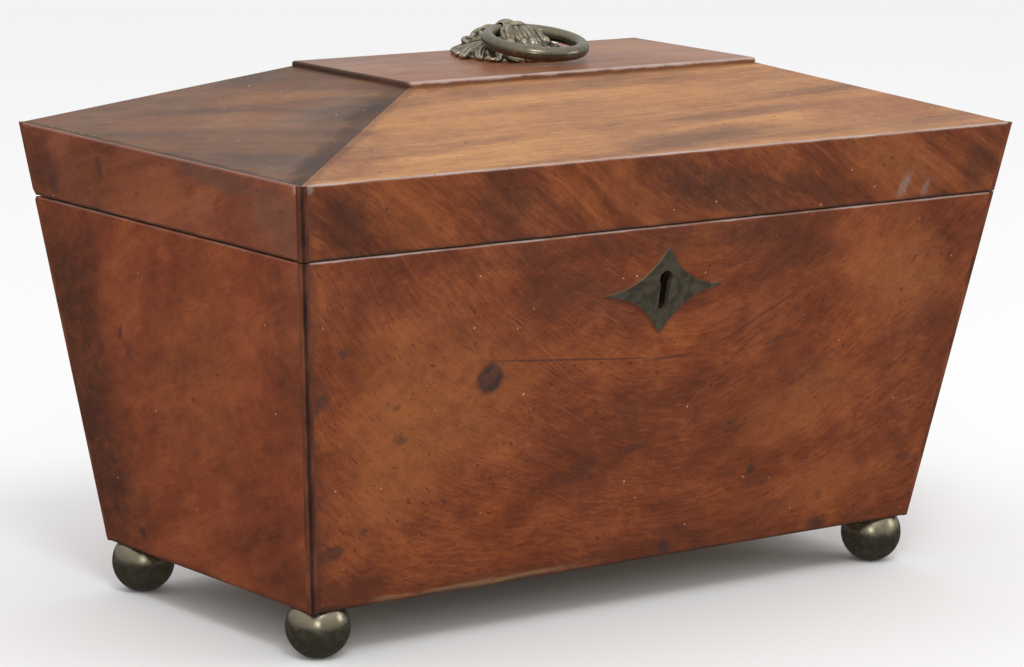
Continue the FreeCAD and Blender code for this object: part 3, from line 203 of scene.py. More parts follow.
class Effect:
    """A shader node group that is made once and placed in each finish with its own values."""

    title: str = ""
    takes: dict[str, str] = {}
    gives: tuple[str, ...] = ()

    @classmethod
    def tree(cls) -> bpy.types.NodeTree:
        """Gives the group, which is made at its first use.

        Returns:
            The group.
        """
        if cls.title in bpy.data.node_groups:
            return bpy.data.node_groups[cls.title]
        tree = bpy.data.node_groups.new(cls.title, "ShaderNodeTree")
        for name, kind in cls.takes.items():
            tree.interface.new_socket(name=name, in_out="INPUT", socket_type=kind)
        for name in cls.gives:
            tree.interface.new_socket(name=name, in_out="OUTPUT", socket_type=FLOAT)
        given = tree.nodes.new("NodeGroupInput").outputs
        result = tree.nodes.new("NodeGroupOutput").inputs
        bench = NodeBench(tree)
        for name, socket in cls.wire(bench, given).items():
            bench.feed(result[name], socket)
        return tree

    @classmethod
    def wire(cls, bench: NodeBench, given: Outputs) -> dict[str, Socket]:
        """Lays the group's nodes.

        Args:
            bench: The bench of the group's own tree.
            given: The sockets that carry the group's inputs.

        Returns:
            The sockets that feed the group's outputs, by name.
        """
        raise NotImplementedError

    @classmethod
    def place(cls, bench: NodeBench, **values: Feed) -> Outputs:
        """Places the group in a finish.

        Args:
            bench: The bench of the finish.
            **values: The group's inputs by name.

        Returns:
            The group's outputs.
        """
        node = bench.tree.nodes.new("ShaderNodeGroup")
        node.node_tree = cls.tree()
        for name, value in values.items():
            bench.feed(node.inputs[name], value)
        return node.outputs


class Grain(Effect):
    """Streaks, fibres, mottle and open pores of a sawn board."""

    title = "board_grain"
    takes = {"Place": VECTOR, "Feather": FLOAT, "Middle": FLOAT, "Wander": FLOAT, "Streak": FLOAT,
             "Fibre": FLOAT, "Mottle": FLOAT, "Cross": FLOAT}
    gives = ("Tone", "Pores", "Height")

    @classmethod
    def wire(cls, bench: NodeBench, given: Outputs) -> dict[str, Socket]:
        """Bends the board's frame along its feather figure and lays several sizes of grain on it."""
        along, across, through = bench.split(given["Place"])
        away = bench.math("SUBTRACT", along, given["Middle"])
        softened = bench.math("SQRT", bench.math("MULTIPLY_ADD", away, away, 500.0))
        slant = bench.math("MULTIPLY", given["Feather"], bench.spread(across, 25.0, 145.0, 0.2, 1.0))
        rise = bench.math("MULTIPLY", softened, slant)
        flow = bench.combine(along, bench.math("SUBTRACT", across, rise), through)
        mirrored = bench.combine(along, bench.math("ADD", across, rise), through)
        waver = bench.drift(flow, (0.014, 0.026, 0.02), 3.0)
        swing = bench.combine(*3 * (given["Wander"],))
        bent = bench.vector("MULTIPLY_ADD", waver, swing, flow)
        crossed = bench.vector("MULTIPLY_ADD", waver, (9.0, 9.0, 9.0), mirrored)
        cloudy = bench.vector("MULTIPLY_ADD", waver, (22.0, 22.0, 22.0), given["Place"])
        layers = {
            "Streak": bench.noise(bent, (0.008, 0.15, 0.05), 5.0, 0.6),
            "Fibre": bench.noise(bent, (0.13, 1.25, 0.5), 4.0, 0.65),
            "Mottle": bench.noise(cloudy, (0.027, 0.038, 0.03), 9.0, 0.77),
            "Cross": bench.noise(crossed, (0.09, 0.6, 0.3), 3.0, 0.6),
        }
        tone: Feed = 0.5
        for name, layer in layers.items():
            tone = bench.math("MULTIPLY_ADD", bench.math("SUBTRACT", layer, 0.5), given[name], tone)
        pores = bench.step(bench.noise(bent, (0.3, 1.5, 0.8), 3.0, 0.62), 0.6, 0.72)
        height = bench.math("MULTIPLY_ADD", pores, -0.8, layers["Fibre"])
        return {"Tone": bench.spread(tone, 0.3, 0.7, 0.0, 1.0), "Pores": pores, "Height": height}


class Specks(Effect):
    """Tiny splashes and dust grains scattered over a face, thicker in some places."""

    title = "old_specks"
    takes = {"Place": VECTOR, "Share": FLOAT, "Radius": FLOAT}
    gives = ("Mask",)
    cell = 6.0

    @classmethod
    def wire(cls, bench: NodeBench, given: Outputs) -> dict[str, Socket]:
        """Puts at most one ragged speck in each cell of the face."""
        jitter = bench.drift(given["Place"], 0.9, 2.0)
        place = bench.vector("MULTIPLY_ADD", jitter, (0.7, 0.7, 0.0), given["Place"])
        scaled = bench.vector("MULTIPLY", place, 3 * (1 / cls.cell,))
        cells = bench.add("TexVoronoi", {"Vector": scaled, "Scale": 1.0}, voronoi_dimensions="2D").outputs
        chance, size, bright = bench.split(cells["Color"])
        reach = bench.math("MULTIPLY", given["Radius"], bench.math("MULTIPLY_ADD", size, 1.2, 0.3))
        near = bench.math("DIVIDE", bench.math("MULTIPLY", cells["Distance"], cls.cell), reach)
        crowd = bench.noise(given["Place"], 0.03, 2.0)
        share = bench.math("MULTIPLY", given["Share"], bench.spread(crowd, 0.35, 0.65, 0.3, 1.9))
        chosen = bench.math("LESS_THAN", chance, share)
        dot = bench.math("MULTIPLY", bench.step(near, 0.5, 1.0, 1.0, 0.0), chosen)
        return {"Mask": bench.math("MULTIPLY", dot, bench.math("MULTIPLY_ADD", bright, 0.65, 0.3))}


class Spot(Effect):
    """A ragged stain, knot, crack or scratch at one place on a face."""

    title = "single_spot"
    takes = {"Place": VECTOR, "Centre": VECTOR, "Shrink": VECTOR, "Turn": FLOAT, "Ragged": FLOAT,
             "Core": FLOAT}
    gives = ("Mask",)

    @classmethod
    def wire(cls, bench: NodeBench, given: Outputs) -> dict[str, Socket]:
        """Measures the turned and stretched distance from the centre and breaks up its edge."""
        offset = bench.vector("SUBTRACT", given["Place"], given["Centre"])
        inputs = {"Vector": offset, "Angle": given["Turn"]}
        turned = bench.add("VectorRotate", inputs, rotation_type="Z_AXIS").outputs[0]
        scaled = bench.vector("MULTIPLY", turned, given["Shrink"])
        drawn = bench.vector("MULTIPLY_ADD", given["Centre"], (0.37, 0.53, 0.0), scaled)
        edge = bench.math("SUBTRACT", bench.noise(drawn, 1.5, 6.0, 0.66), 0.5)
        distance = bench.math("MULTIPLY_ADD", edge, given["Ragged"], bench.measure("LENGTH", scaled))
        return {"Mask": bench.step(distance, given["Core"], 1.0, 1.0, 0.0)}


class EdgeWearAndLight(Effect):
    """A band along an edge, wider in some places and broken in others: wear, bleaching and dirt, and on some
    edges painted highlights and painted shade.
    """

    title = "edge_wear_and_light"
    takes = {"Distance": FLOAT, "Width": FLOAT, "Gaps": FLOAT, "Place": VECTOR}
    gives = ("Mask",)

    @classmethod
    def wire(cls, bench: NodeBench, given: Outputs) -> dict[str, Socket]:
        """Fades from the edge over a width that wanders along it."""
        wander = bench.noise(given["Place"], 0.09, 5.0, 0.65)
        reach = bench.math("MULTIPLY", given["Width"], bench.math("MULTIPLY_ADD", wander, 2.2, -0.1))
        band = bench.step(bench.math("DIVIDE", given["Distance"], reach), 0.35, 1.0, 1.0, 0.0)
        patches = bench.step(bench.noise(given["Place"], 0.035), 0.42, 0.58)
        missing = bench.math("MULTIPLY", patches, given["Gaps"])
        return {"Mask": bench.math("MULTIPLY", band, bench.math("SUBTRACT", 1.0, missing))}


class BrassSkin(Effect):
    """Patina, rubbed places, grime and casting texture of old brass."""

    title = "brass_skin"
    takes = {"Place": VECTOR, "Hollow": FLOAT}
    gives = ("Worn", "Grime", "Cloud", "Height")

    @classmethod
    def wire(cls, bench: NodeBench, given: Outputs) -> dict[str, Socket]:
        """Rubs the high places, dirties the hollows and clouds the rest."""
        blotch = bench.noise(given["Place"], 0.17, 5.0, 0.62)
        fine = bench.noise(given["Place"], 1.4)
        dirt = bench.noise(given["Place"], 0.33, 4.0, 0.6)
        pitting = bench.noise(given["Place"], 3.1, 2.0)
        depth = bench.math("SUBTRACT", given["Hollow"], 0.5)
        rubbed = bench.math("MULTIPLY_ADD", fine, 0.25, bench.math("MULTIPLY", blotch, 0.75))
        rubbed = bench.math("MULTIPLY_ADD", depth, -0.9, rubbed)
        dirty = bench.math("MULTIPLY_ADD", depth, 1.1, dirt)
        return {
            "Worn": bench.step(rubbed, 0.54, 0.7),
            "Grime": bench.step(dirty, 0.5, 0.72),
            "Cloud": bench.step(dirt, 0.3, 0.7),
            "Height": bench.math("MULTIPLY_ADD", pitting, 0.5, fine),
        }


# Finishes

# Pale painted highlight along upward arrises, partly rubbed wear; it also lightens small rubbed spots at the
# lid's corners.
HIGHLIGHT_AND_RUB: Colour = (0.44, 0.33, 0.29)
GREY_BLOOM: Colour = (0.11, 0.062, 0.043)
INK_STAIN: Colour = (0.034, 0.022, 0.022)
# Dark brown of the dark figure, which is also painted shade in the large clouds at the back of the left end.
SMOKE_AND_SHADE: Colour = (0.06, 0.021, 0.012)
AMBER: Colour = (0.3, 0.095, 0.024)
BARE_WOOD: Colour = (0.24, 0.14, 0.07)
# Pale brown painted highlight along the canted corners of the left end and left rail, partly wear.
BROWN_HIGHLIGHT_AND_WEAR: Colour = (0.24, 0.115, 0.07)
SPECK_WHITE: Colour = (0.5, 0.4, 0.33)
SCRATCH: Colour = (0.34, 0.13, 0.052)
# Dark dirt in pores, joints and along the foot, which is also painted shade along the lid's left edges.
DIRT_AND_SHADE: Colour = (0.03, 0.018, 0.012)

# Ways that an edge faces in a laid board, where up is the back on a flat one
UP = (0.0, 1.0)
DOWN = (0.0, -1.0)
LEFT = (-1.0, 0.0)
RIGHT = (1.0, 0.0)

# Half the faces' widths at the ground in millimetres, and how far they lean out for each millimetre up
FRONT_CORNER = 127.89
END_CORNER = 58.39
CANT = 0.154


class Facing(Enum):
    """Which way a board's face looks, as the turn that lays the face flat."""

    FRONT = (-math.pi / 2, 0.0, 0.0)
    END = (-math.pi / 2, -math.pi / 2, 0.0)
    FLAT = (0.0, 0.0, 0.0)


@dataclass(frozen=True)
class Mark:
    """One stain, knot, crack, scratch, cloud or patch of painted shade on a board, placed in its laid face in
    millimetres.
    """

    x: float
    y: float
    length: float
    width: float
    colour: Colour
    strength: float
    turn: float
    ragged: float
    core: float = 0.25


@dataclass(frozen=True)
class Band:
    """Wear, dirt, painted highlight and painted shade along one edge of a board: the edge is where normal
    times place equals level.

    A band with a rise runs along an arris, where rise is the normal's part out of the laid face.
    """

    normal: tuple[float, float]
    level: float
    width: float
    colour: Colour
    strength: float
    gaps: float
    rise: float = 0.0


def canted_edge(level: float, width: float, colour: Colour, strength: float) -> Band:
    """Makes a band along the canted left or front corner of a face.

    Args:
        level: How far the corner would lie from the face's middle at the ground.
        width: How far the band reaches.
        colour: The band's colour.
        strength: How much of it shows.

    Returns:
        The band.
    """
    length = math.hypot(1.0, CANT)
    return Band((-1.0 / length, -CANT / length), level / length, width, colour, strength, 0.3)


class Finish:
    """A material of one Principled shader, whose inputs its own kind of finish feeds."""

    name: str

    def make(self) -> bpy.types.Material:
        """Makes the material and feeds its shader.

        Returns:
            The material.
        """
        material = bpy.data.materials.new(self.name)
        material.use_nodes = True
        material.node_tree.nodes.clear()
        bench = NodeBench(material.node_tree)
        shader = bench.add("BsdfPrincipled", self.wire(bench))
        bench.add("OutputMaterial", {"Surface": shader.outputs[0]})
        return material

    def wire(self, bench: NodeBench) -> Inputs:
        """Lays the finish's nodes.

        Args:
            bench: The bench of the material's tree.

        Returns:
            What feeds the shader's inputs.
        """
        raise NotImplementedError


@dataclass(frozen=True)
class Mahogany(Finish):
    """Old polished mahogany on one board, with that board's own grain, figure and marks."""

    name: str
    facing: Facing
    seed: Point
    grain_turn: float = 0.0
    tones: Tones = ((0.085, 0.022, 0.009), (0.185, 0.047, 0.0155), (0.3, 0.09, 0.026))
    feather: float = 0.0
    feather_middle: float = 0.0
    wander: float = 14.0
    streak: float = 0.3
    mottle: float = 0.5
    fibre: float = 0.35
    cross: float = 0.12
    pores: float = 0.5
    specks: float = 0.08
    speck_radius: float = 0.32
    pits: float = 0.14
    pit_radius: float = 0.5
    pit_strength: float = 0.75
    pit_shift: Point = (311.0, 173.0, 0.0)
    roughness: float = 0.36
    specular: float = 0.3
    coat: float = 0.08
    coat_roughness: float = 0.2
    relief: float = 0.12
    relief_strength: float = 0.35
    cloud_reach: float = 6.0
    marks: tuple[Mark, ...] = ()
    bands: tuple[Band, ...] = ()

    def wire(self, bench: NodeBench) -> Inputs:
        """Lays grain, marks, edge bands, pits and specks over each other; some marks and bands are painted
        highlight and painted shade.
        """
        laid = bench.place(self.facing.value)
        turn = (0.0, 0.0, -math.radians(self.grain_turn))
        sawn = bench.add("Mapping", {"Vector": laid, "Rotation": turn, "Location": self.seed}).outputs[0]
        middle = self.feather_middle + self.seed[0]
        grain = Grain.place(bench, Place=sawn, Feather=self.feather, Middle=middle, Wander=self.wander,
                            Streak=self.streak, Fibre=self.fibre, Mottle=self.mottle, Cross=self.cross)
        colour = bench.ramp(grain["Tone"], tuple(zip((0.0, 0.5, 1.0), self.tones)))
        colour = self.lay_marks(bench, laid, colour)
        colour = bench.mix(bench.math("MULTIPLY", grain["Pores"], self.pores), colour, self.tones[0])
        colour, rubbed = self.lay_bands(bench, laid, colour)
        shifted = bench.vector("ADD", laid, self.pit_shift)
        pits = Specks.place(bench, Place=shifted, Share=self.pits, Radius=self.pit_radius)["Mask"]
        colour = bench.mix(bench.math("MULTIPLY", pits, self.pit_strength), colour, INK_STAIN)
        specks = Specks.place(bench, Place=laid, Share=self.specks, Radius=self.speck_radius)["Mask"]
        breath = bench.noise(laid, 0.03, 5.0, 0.62)
        gloss = bench.spread(breath, 0.3, 0.7, self.roughness - 0.07, self.roughness + 0.09)
        gloss = bench.math("MULTIPLY_ADD", rubbed, 0.2, gloss)
        return {
            "Base Color": bench.mix(specks, colour, SPECK_WHITE),
            "Roughness": bench.math("MULTIPLY_ADD", specks, 0.3, gloss),
            "Specular IOR Level": self.specular,
            "Coat Weight": self.coat,
            "Coat Roughness": self.coat_roughness,
            "Normal": bench.bump(grain["Height"], self.relief, self.relief_strength),
        }

    def lay_marks(self, bench: NodeBench, laid: Socket, colour: Socket) -> Socket:
        """Lays the board's own marks over its grain; the large ones are broken up, so that the grain shows.

        Args:
            bench: The bench of the finish.
            laid: The place on the laid face.
            colour: The colour so far.

        Returns:
            The colour with its marks.
        """
        broken = bench.spread(bench.noise(laid, 0.22, 6.0, 0.8), 0.3, 0.7, 0.35, 1.65)
        for mark in self.marks:
            shrink = (1 / mark.length, 1 / mark.width, 0.0)
            mask = Spot.place(bench, Place=laid, Centre=(mark.x, mark.y, 0.0), Shrink=shrink,
                              Turn=-math.radians(mark.turn), Ragged=mark.ragged, Core=mark.core)["Mask"]
            if min(mark.length, mark.width) > self.cloud_reach and mark.ragged > 0.0:
                mask = bench.math("MULTIPLY", mask, broken)
            colour = bench.mix(bench.math("MULTIPLY", mask, mark.strength), colour, mark.colour)
        return colour

    def lay_bands(self, bench: NodeBench, laid: Socket, colour: Socket) -> tuple[Socket, Feed]:
        """Lays the wear, dirt, painted highlights and painted shade along the board's edges.

        Args:
            bench: The bench of the finish.
            laid: The place on the laid face.
            colour: The colour so far.

        Returns:
            The colour with its bands, and how strongly the bands cover each place.
        """
        rubbed: Feed = 0.0
        for band in self.bands:
            along = bench.measure("DOT_PRODUCT", laid, (*band.normal, band.rise))
            distance = bench.math("ABSOLUTE", bench.math("SUBTRACT", along, band.level))
            rub = EdgeWearAndLight.place(bench, Distance=distance, Width=band.width, Gaps=band.gaps, Place=laid)
            mask = bench.math("MULTIPLY", rub["Mask"], band.strength)
            colour = bench.mix(mask, colour, band.colour)
            rubbed = bench.math("MAXIMUM", rubbed, mask)
        return colour, rubbed


@dataclass(frozen=True)
class CornerStrip(Finish):
    """The strips let into the corners: black on the front of the left one, rubbed back to red elsewhere."""

    name: str = "corner_stringing"
    dark: Colour = (0.018, 0.009, 0.007)
    light: Colour = (0.06, 0.022, 0.013)
    rubbed_dark: Colour = (0.085, 0.024, 0.012)
    rubbed_light: Colour = (0.2, 0.056, 0.022)
    rim_height: float = 159.8
    rim_half_width: float = 152.5
    rim_half_depth: float = 83.0
    roughness: float = 0.36

    def wire(self, bench: NodeBench) -> Inputs:
        """Mixes the black and the red strip."""
        place = bench.place()
        grain = bench.noise(place, (0.5, 0.5, 0.05), 4.0)
        rub = bench.noise(place, (0.07, 0.07, 0.04), 5.0, 0.65)
        share = bench.math("MULTIPLY_ADD", grain, 0.4, bench.math("MULTIPLY", rub, 0.6))
        share = bench.step(share, 0.36, 0.66)
        black = bench.mix(share, self.dark, self.light)
        red = bench.mix(share, self.rubbed_dark, self.rubbed_light)
        return {
            "Base Color": bench.mix(self.black_mask(bench, place), red, black),
            "Roughness": bench.spread(rub, 0.3, 0.7, self.roughness, self.roughness + 0.16),
            "Specular IOR Level": 0.18,
            "Normal": bench.bump(grain, 0.08, 0.3),
        }

    def black_mask(self, bench: NodeBench, place: Socket) -> Socket:
        """Finds where the strip is still black: the front side of the front left corner.

        Args:
            bench: The bench of the finish.
            place: The place on the strip in millimetres.

        Returns:
            The mask.
        """
        side, depth, height = bench.split(place)
        inset = bench.math("MULTIPLY_ADD", height, -CANT, self.rim_height * CANT)
        from_left = bench.math("SUBTRACT", bench.math("ADD", side, self.rim_half_width), inset)
        from_front = bench.math("SUBTRACT", bench.math("ADD", depth, self.rim_half_depth), inset)
        in_front = bench.step(bench.math("SUBTRACT", from_left, from_front), -0.5, 0.15)
        faded = bench.step(from_left, 0.9, 2.0, 1.0, 0.3)
        at_corner = bench.math("MULTIPLY", *(bench.math("LESS_THAN", part, 0.0) for part in (side, depth)))
        return bench.math("MULTIPLY", bench.math("MULTIPLY", in_front, faded), at_corner)


@dataclass(frozen=True)
class OldDeal(Finish):
    """The bare softwood of the bottom board."""

    name: str = "old_deal"
    dark: Colour = (0.14, 0.075, 0.035)
    light: Colour = (0.34, 0.22, 0.11)
    roughness: float = 0.72

    def wire(self, bench: NodeBench) -> Inputs:
        """Lays plain streaky grain."""
        grain = Grain.place(bench, Place=bench.place(), Feather=0.0, Middle=0.0, Wander=8.0, Streak=0.7,
                            Fibre=0.3, Mottle=0.2, Cross=0.02)
        colour = bench.ramp(grain["Tone"], ((0.1, self.dark), (0.9, self.light)))
        return {
            "Base Color": bench.mix(bench.math("MULTIPLY", grain["Pores"], 0.3), colour, DIRT_AND_SHADE),
            "Roughness": bench.spread(grain["Tone"], 0.0, 1.0, self.roughness + 0.1, self.roughness - 0.08),
            "Normal": bench.bump(grain["Height"], 0.25, 0.5),
        }


@dataclass(frozen=True)
class OldBrass(Finish):
    """Brass under a dark olive patina, rubbed to metal in places."""

    name: str
    patina: Colour = (0.15, 0.128, 0.09)
    cloud: Colour = (0.22, 0.19, 0.138)
    worn: Colour = (0.44, 0.35, 0.2)
    grime: Colour = (0.035, 0.03, 0.022)
    worn_share: float = 0.5
    grime_share: float = 0.6
    roughness: float = 0.3
    texture: float = 0.2
    hollow_attribute: str = ""

    def wire(self, bench: NodeBench) -> Inputs:
        """Lays patina, worn metal and grime, by how hollow each place is where a mesh tells it."""
        hollow: Feed = 0.5
        if self.hollow_attribute:
            hollow = bench.add("Attribute", attribute_name=self.hollow_attribute).outputs["Fac"]
        skin = BrassSkin.place(bench, Place=bench.place(), Hollow=hollow)
        worn = bench.math("MULTIPLY", skin["Worn"], self.worn_share)
        grime = bench.math("MULTIPLY", skin["Grime"], self.grime_share)
        colour = bench.mix(skin["Cloud"], self.patina, self.cloud)
        colour = bench.mix(worn, colour, self.worn)
        gloss = bench.math("MULTIPLY_ADD", skin["Cloud"], 0.12, self.roughness)
        gloss = bench.math("MULTIPLY_ADD", grime, 0.25, gloss)
        return {
            "Base Color": bench.mix(grime, colour, self.grime),
            "Metallic": bench.math("MULTIPLY_ADD", grime, -0.5, 0.92),
            "Roughness": bench.math("MULTIPLY_ADD", worn, -0.06, gloss),
            "Normal": bench.bump(skin["Height"], 0.09, self.texture),
        }


@dataclass(frozen=True)
class DullSteel(Finish):
    """The steel of the lock's bolt and the hinge pins."""

    name: str = "dull_steel"
    dark: Colour = (0.16, 0.15, 0.14)
    light: Colour = (0.36, 0.35, 0.34)
    roughness: float = 0.4

    def wire(self, bench: NodeBench) -> Inputs:
        """Lays file lines and stains."""
        place = bench.place()
        lines = bench.noise(place, (0.1, 3.0, 3.0))
        stain = bench.noise(place, 0.25, 4.0)
        share = bench.math("MULTIPLY_ADD", lines, 0.35, bench.math("MULTIPLY", stain, 0.65))
        return {
            "Base Color": bench.ramp(share, ((0.3, self.dark), (0.7, self.light))),
            "Roughness": bench.spread(stain, 0.3, 0.7, self.roughness + 0.15, self.roughness),
            "Metallic": 1.0,
            "Normal": bench.bump(lines, 0.03, 0.3),
        }


@dataclass(frozen=True)
class BlownGlass(Finish):
    """The clear glass of the mixing bowl, with a little tea bloom on it."""

    name: str = "blown_glass"
    clear: Colour = (0.94, 0.97, 0.95)
    bloom: Colour = (0.86, 0.9, 0.86)

    def wire(self, bench: NodeBench) -> Inputs:
        """Smears a bloom over clear glass."""
        smear = bench.noise(bench.place(), (0.05, 0.05, 0.12), 4.0, 0.6)
        return {
            "Base Color": bench.mix(bench.step(smear, 0.45, 0.7), self.clear, self.bloom),
            "Roughness": bench.spread(smear, 0.4, 0.7, 0.02, 0.09),
            "Transmission Weight": 1.0,
            "IOR": 1.5,
        }


@dataclass(frozen=True)
class PaleFloor(Finish):
    """The studio's pale floor, with a faint unevenness."""

    name: str = "pale_floor"
    colour: Colour = (0.86, 0.86, 0.86)

    def wire(self, bench: NodeBench) -> Inputs:
        """Clouds the floor a little."""
        shade = tuple(0.985 * part for part in self.colour)
        cloud = bench.noise(bench.place(), 0.004, 2.0)
        return {
            "Base Color": bench.mix(cloud, self.colour, shade),
            "Roughness": 0.9,
            "Specular IOR Level": 0.0,
        }


def paint(finish: Finish, *nodes: str) -> None:
    """Gives CAD nodes a finish and reports them.

    Args:
        finish: The finish.
        *nodes: Names of the nodes.
    """
    material = finish.make()
    for name in nodes:
        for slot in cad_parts[name].material_slots:
            slot.material = material
        log.info("%s: %s", name, material.name)


# Modelling

def deselect() -> None:
    """Leaves edit mode and deselects everything."""
    if bpy.context.object and bpy.context.object.mode != "OBJECT":
        bpy.ops.object.mode_set(mode="OBJECT")
    bpy.ops.object.select_all(action="DESELECT")


def take(pieces: Sequence[Piece]) -> Piece:
    """Selects pieces in object mode and makes the first of them active.

    Args:
        pieces: The pieces.

    Returns:
        The active piece.
    """
    deselect()
    for piece in pieces:
        piece.select_set(True)
    bpy.context.view_layer.objects.active = pieces[0]
    return pieces[0]


def edit(piece: Piece) -> None:
    """Takes a piece into edit mode with all of it selected.

    Args:
        piece: The mesh to edit.
    """
    take([piece])
    bpy.ops.object.mode_set(mode="EDIT")
    bpy.ops.mesh.select_all(action="SELECT")


def join(pieces: Sequence[Piece], name: str) -> Piece:
    """Joins pieces into one mesh with its place in its vertices.

    Args:
        pieces: The meshes to join.
        name: The joined piece's name.

    Returns:
        The joined piece.
    """
    piece = take(pieces)
    if len(pieces) > 1:
        bpy.ops.object.join()
    bpy.ops.object.transform_apply(location=True, rotation=True, scale=True)
    piece.name = name
    piece.data.name = name
    return piece


def apply_modifier(piece: Piece, kind: str, **settings: object) -> None:
    """Adds one modifier and applies it.

    Args:
        piece: The mesh that is changed.
        kind: The modifier's type.
        **settings: Its properties.
    """
    take([piece])
    bpy.ops.object.modifier_add(type=kind)
    modifier = piece.modifiers[-1]
    for name, setting in settings.items():
        setattr(modifier, name, setting)
    bpy.ops.object.modifier_apply(modifier=modifier.name)


def turned_copy(piece: Piece, turn: Matrix) -> Piece:
    """Makes a copy of a piece with its own mesh.

    Args:
        piece: The piece.
        turn: The matrix that moves the copy.

    Returns:
        The copy.
    """
    copy = bpy.data.objects.new(piece.name, piece.data.copy())
    copy.data.transform(turn)
    bpy.context.scene.collection.objects.link(copy)
    return copy


def finish_piece(piece: Piece, body: str, replaced: str, finish: Finish) -> None:
    """Dresses a new piece and hands it to its body.

    Args:
        piece: The new mesh.
        body: The body that it moves with.
        replaced: The CAD node that it stands for.
        finish: Its finish.
    """
    piece.data.materials.clear()
    piece.data.materials.append(finish.make())
    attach(piece, body)
    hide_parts(replaced)
    log.info("%s: new piece with %d faces, %s", piece.name, len(piece.data.polygons), finish.name)


# Sub-assemblies

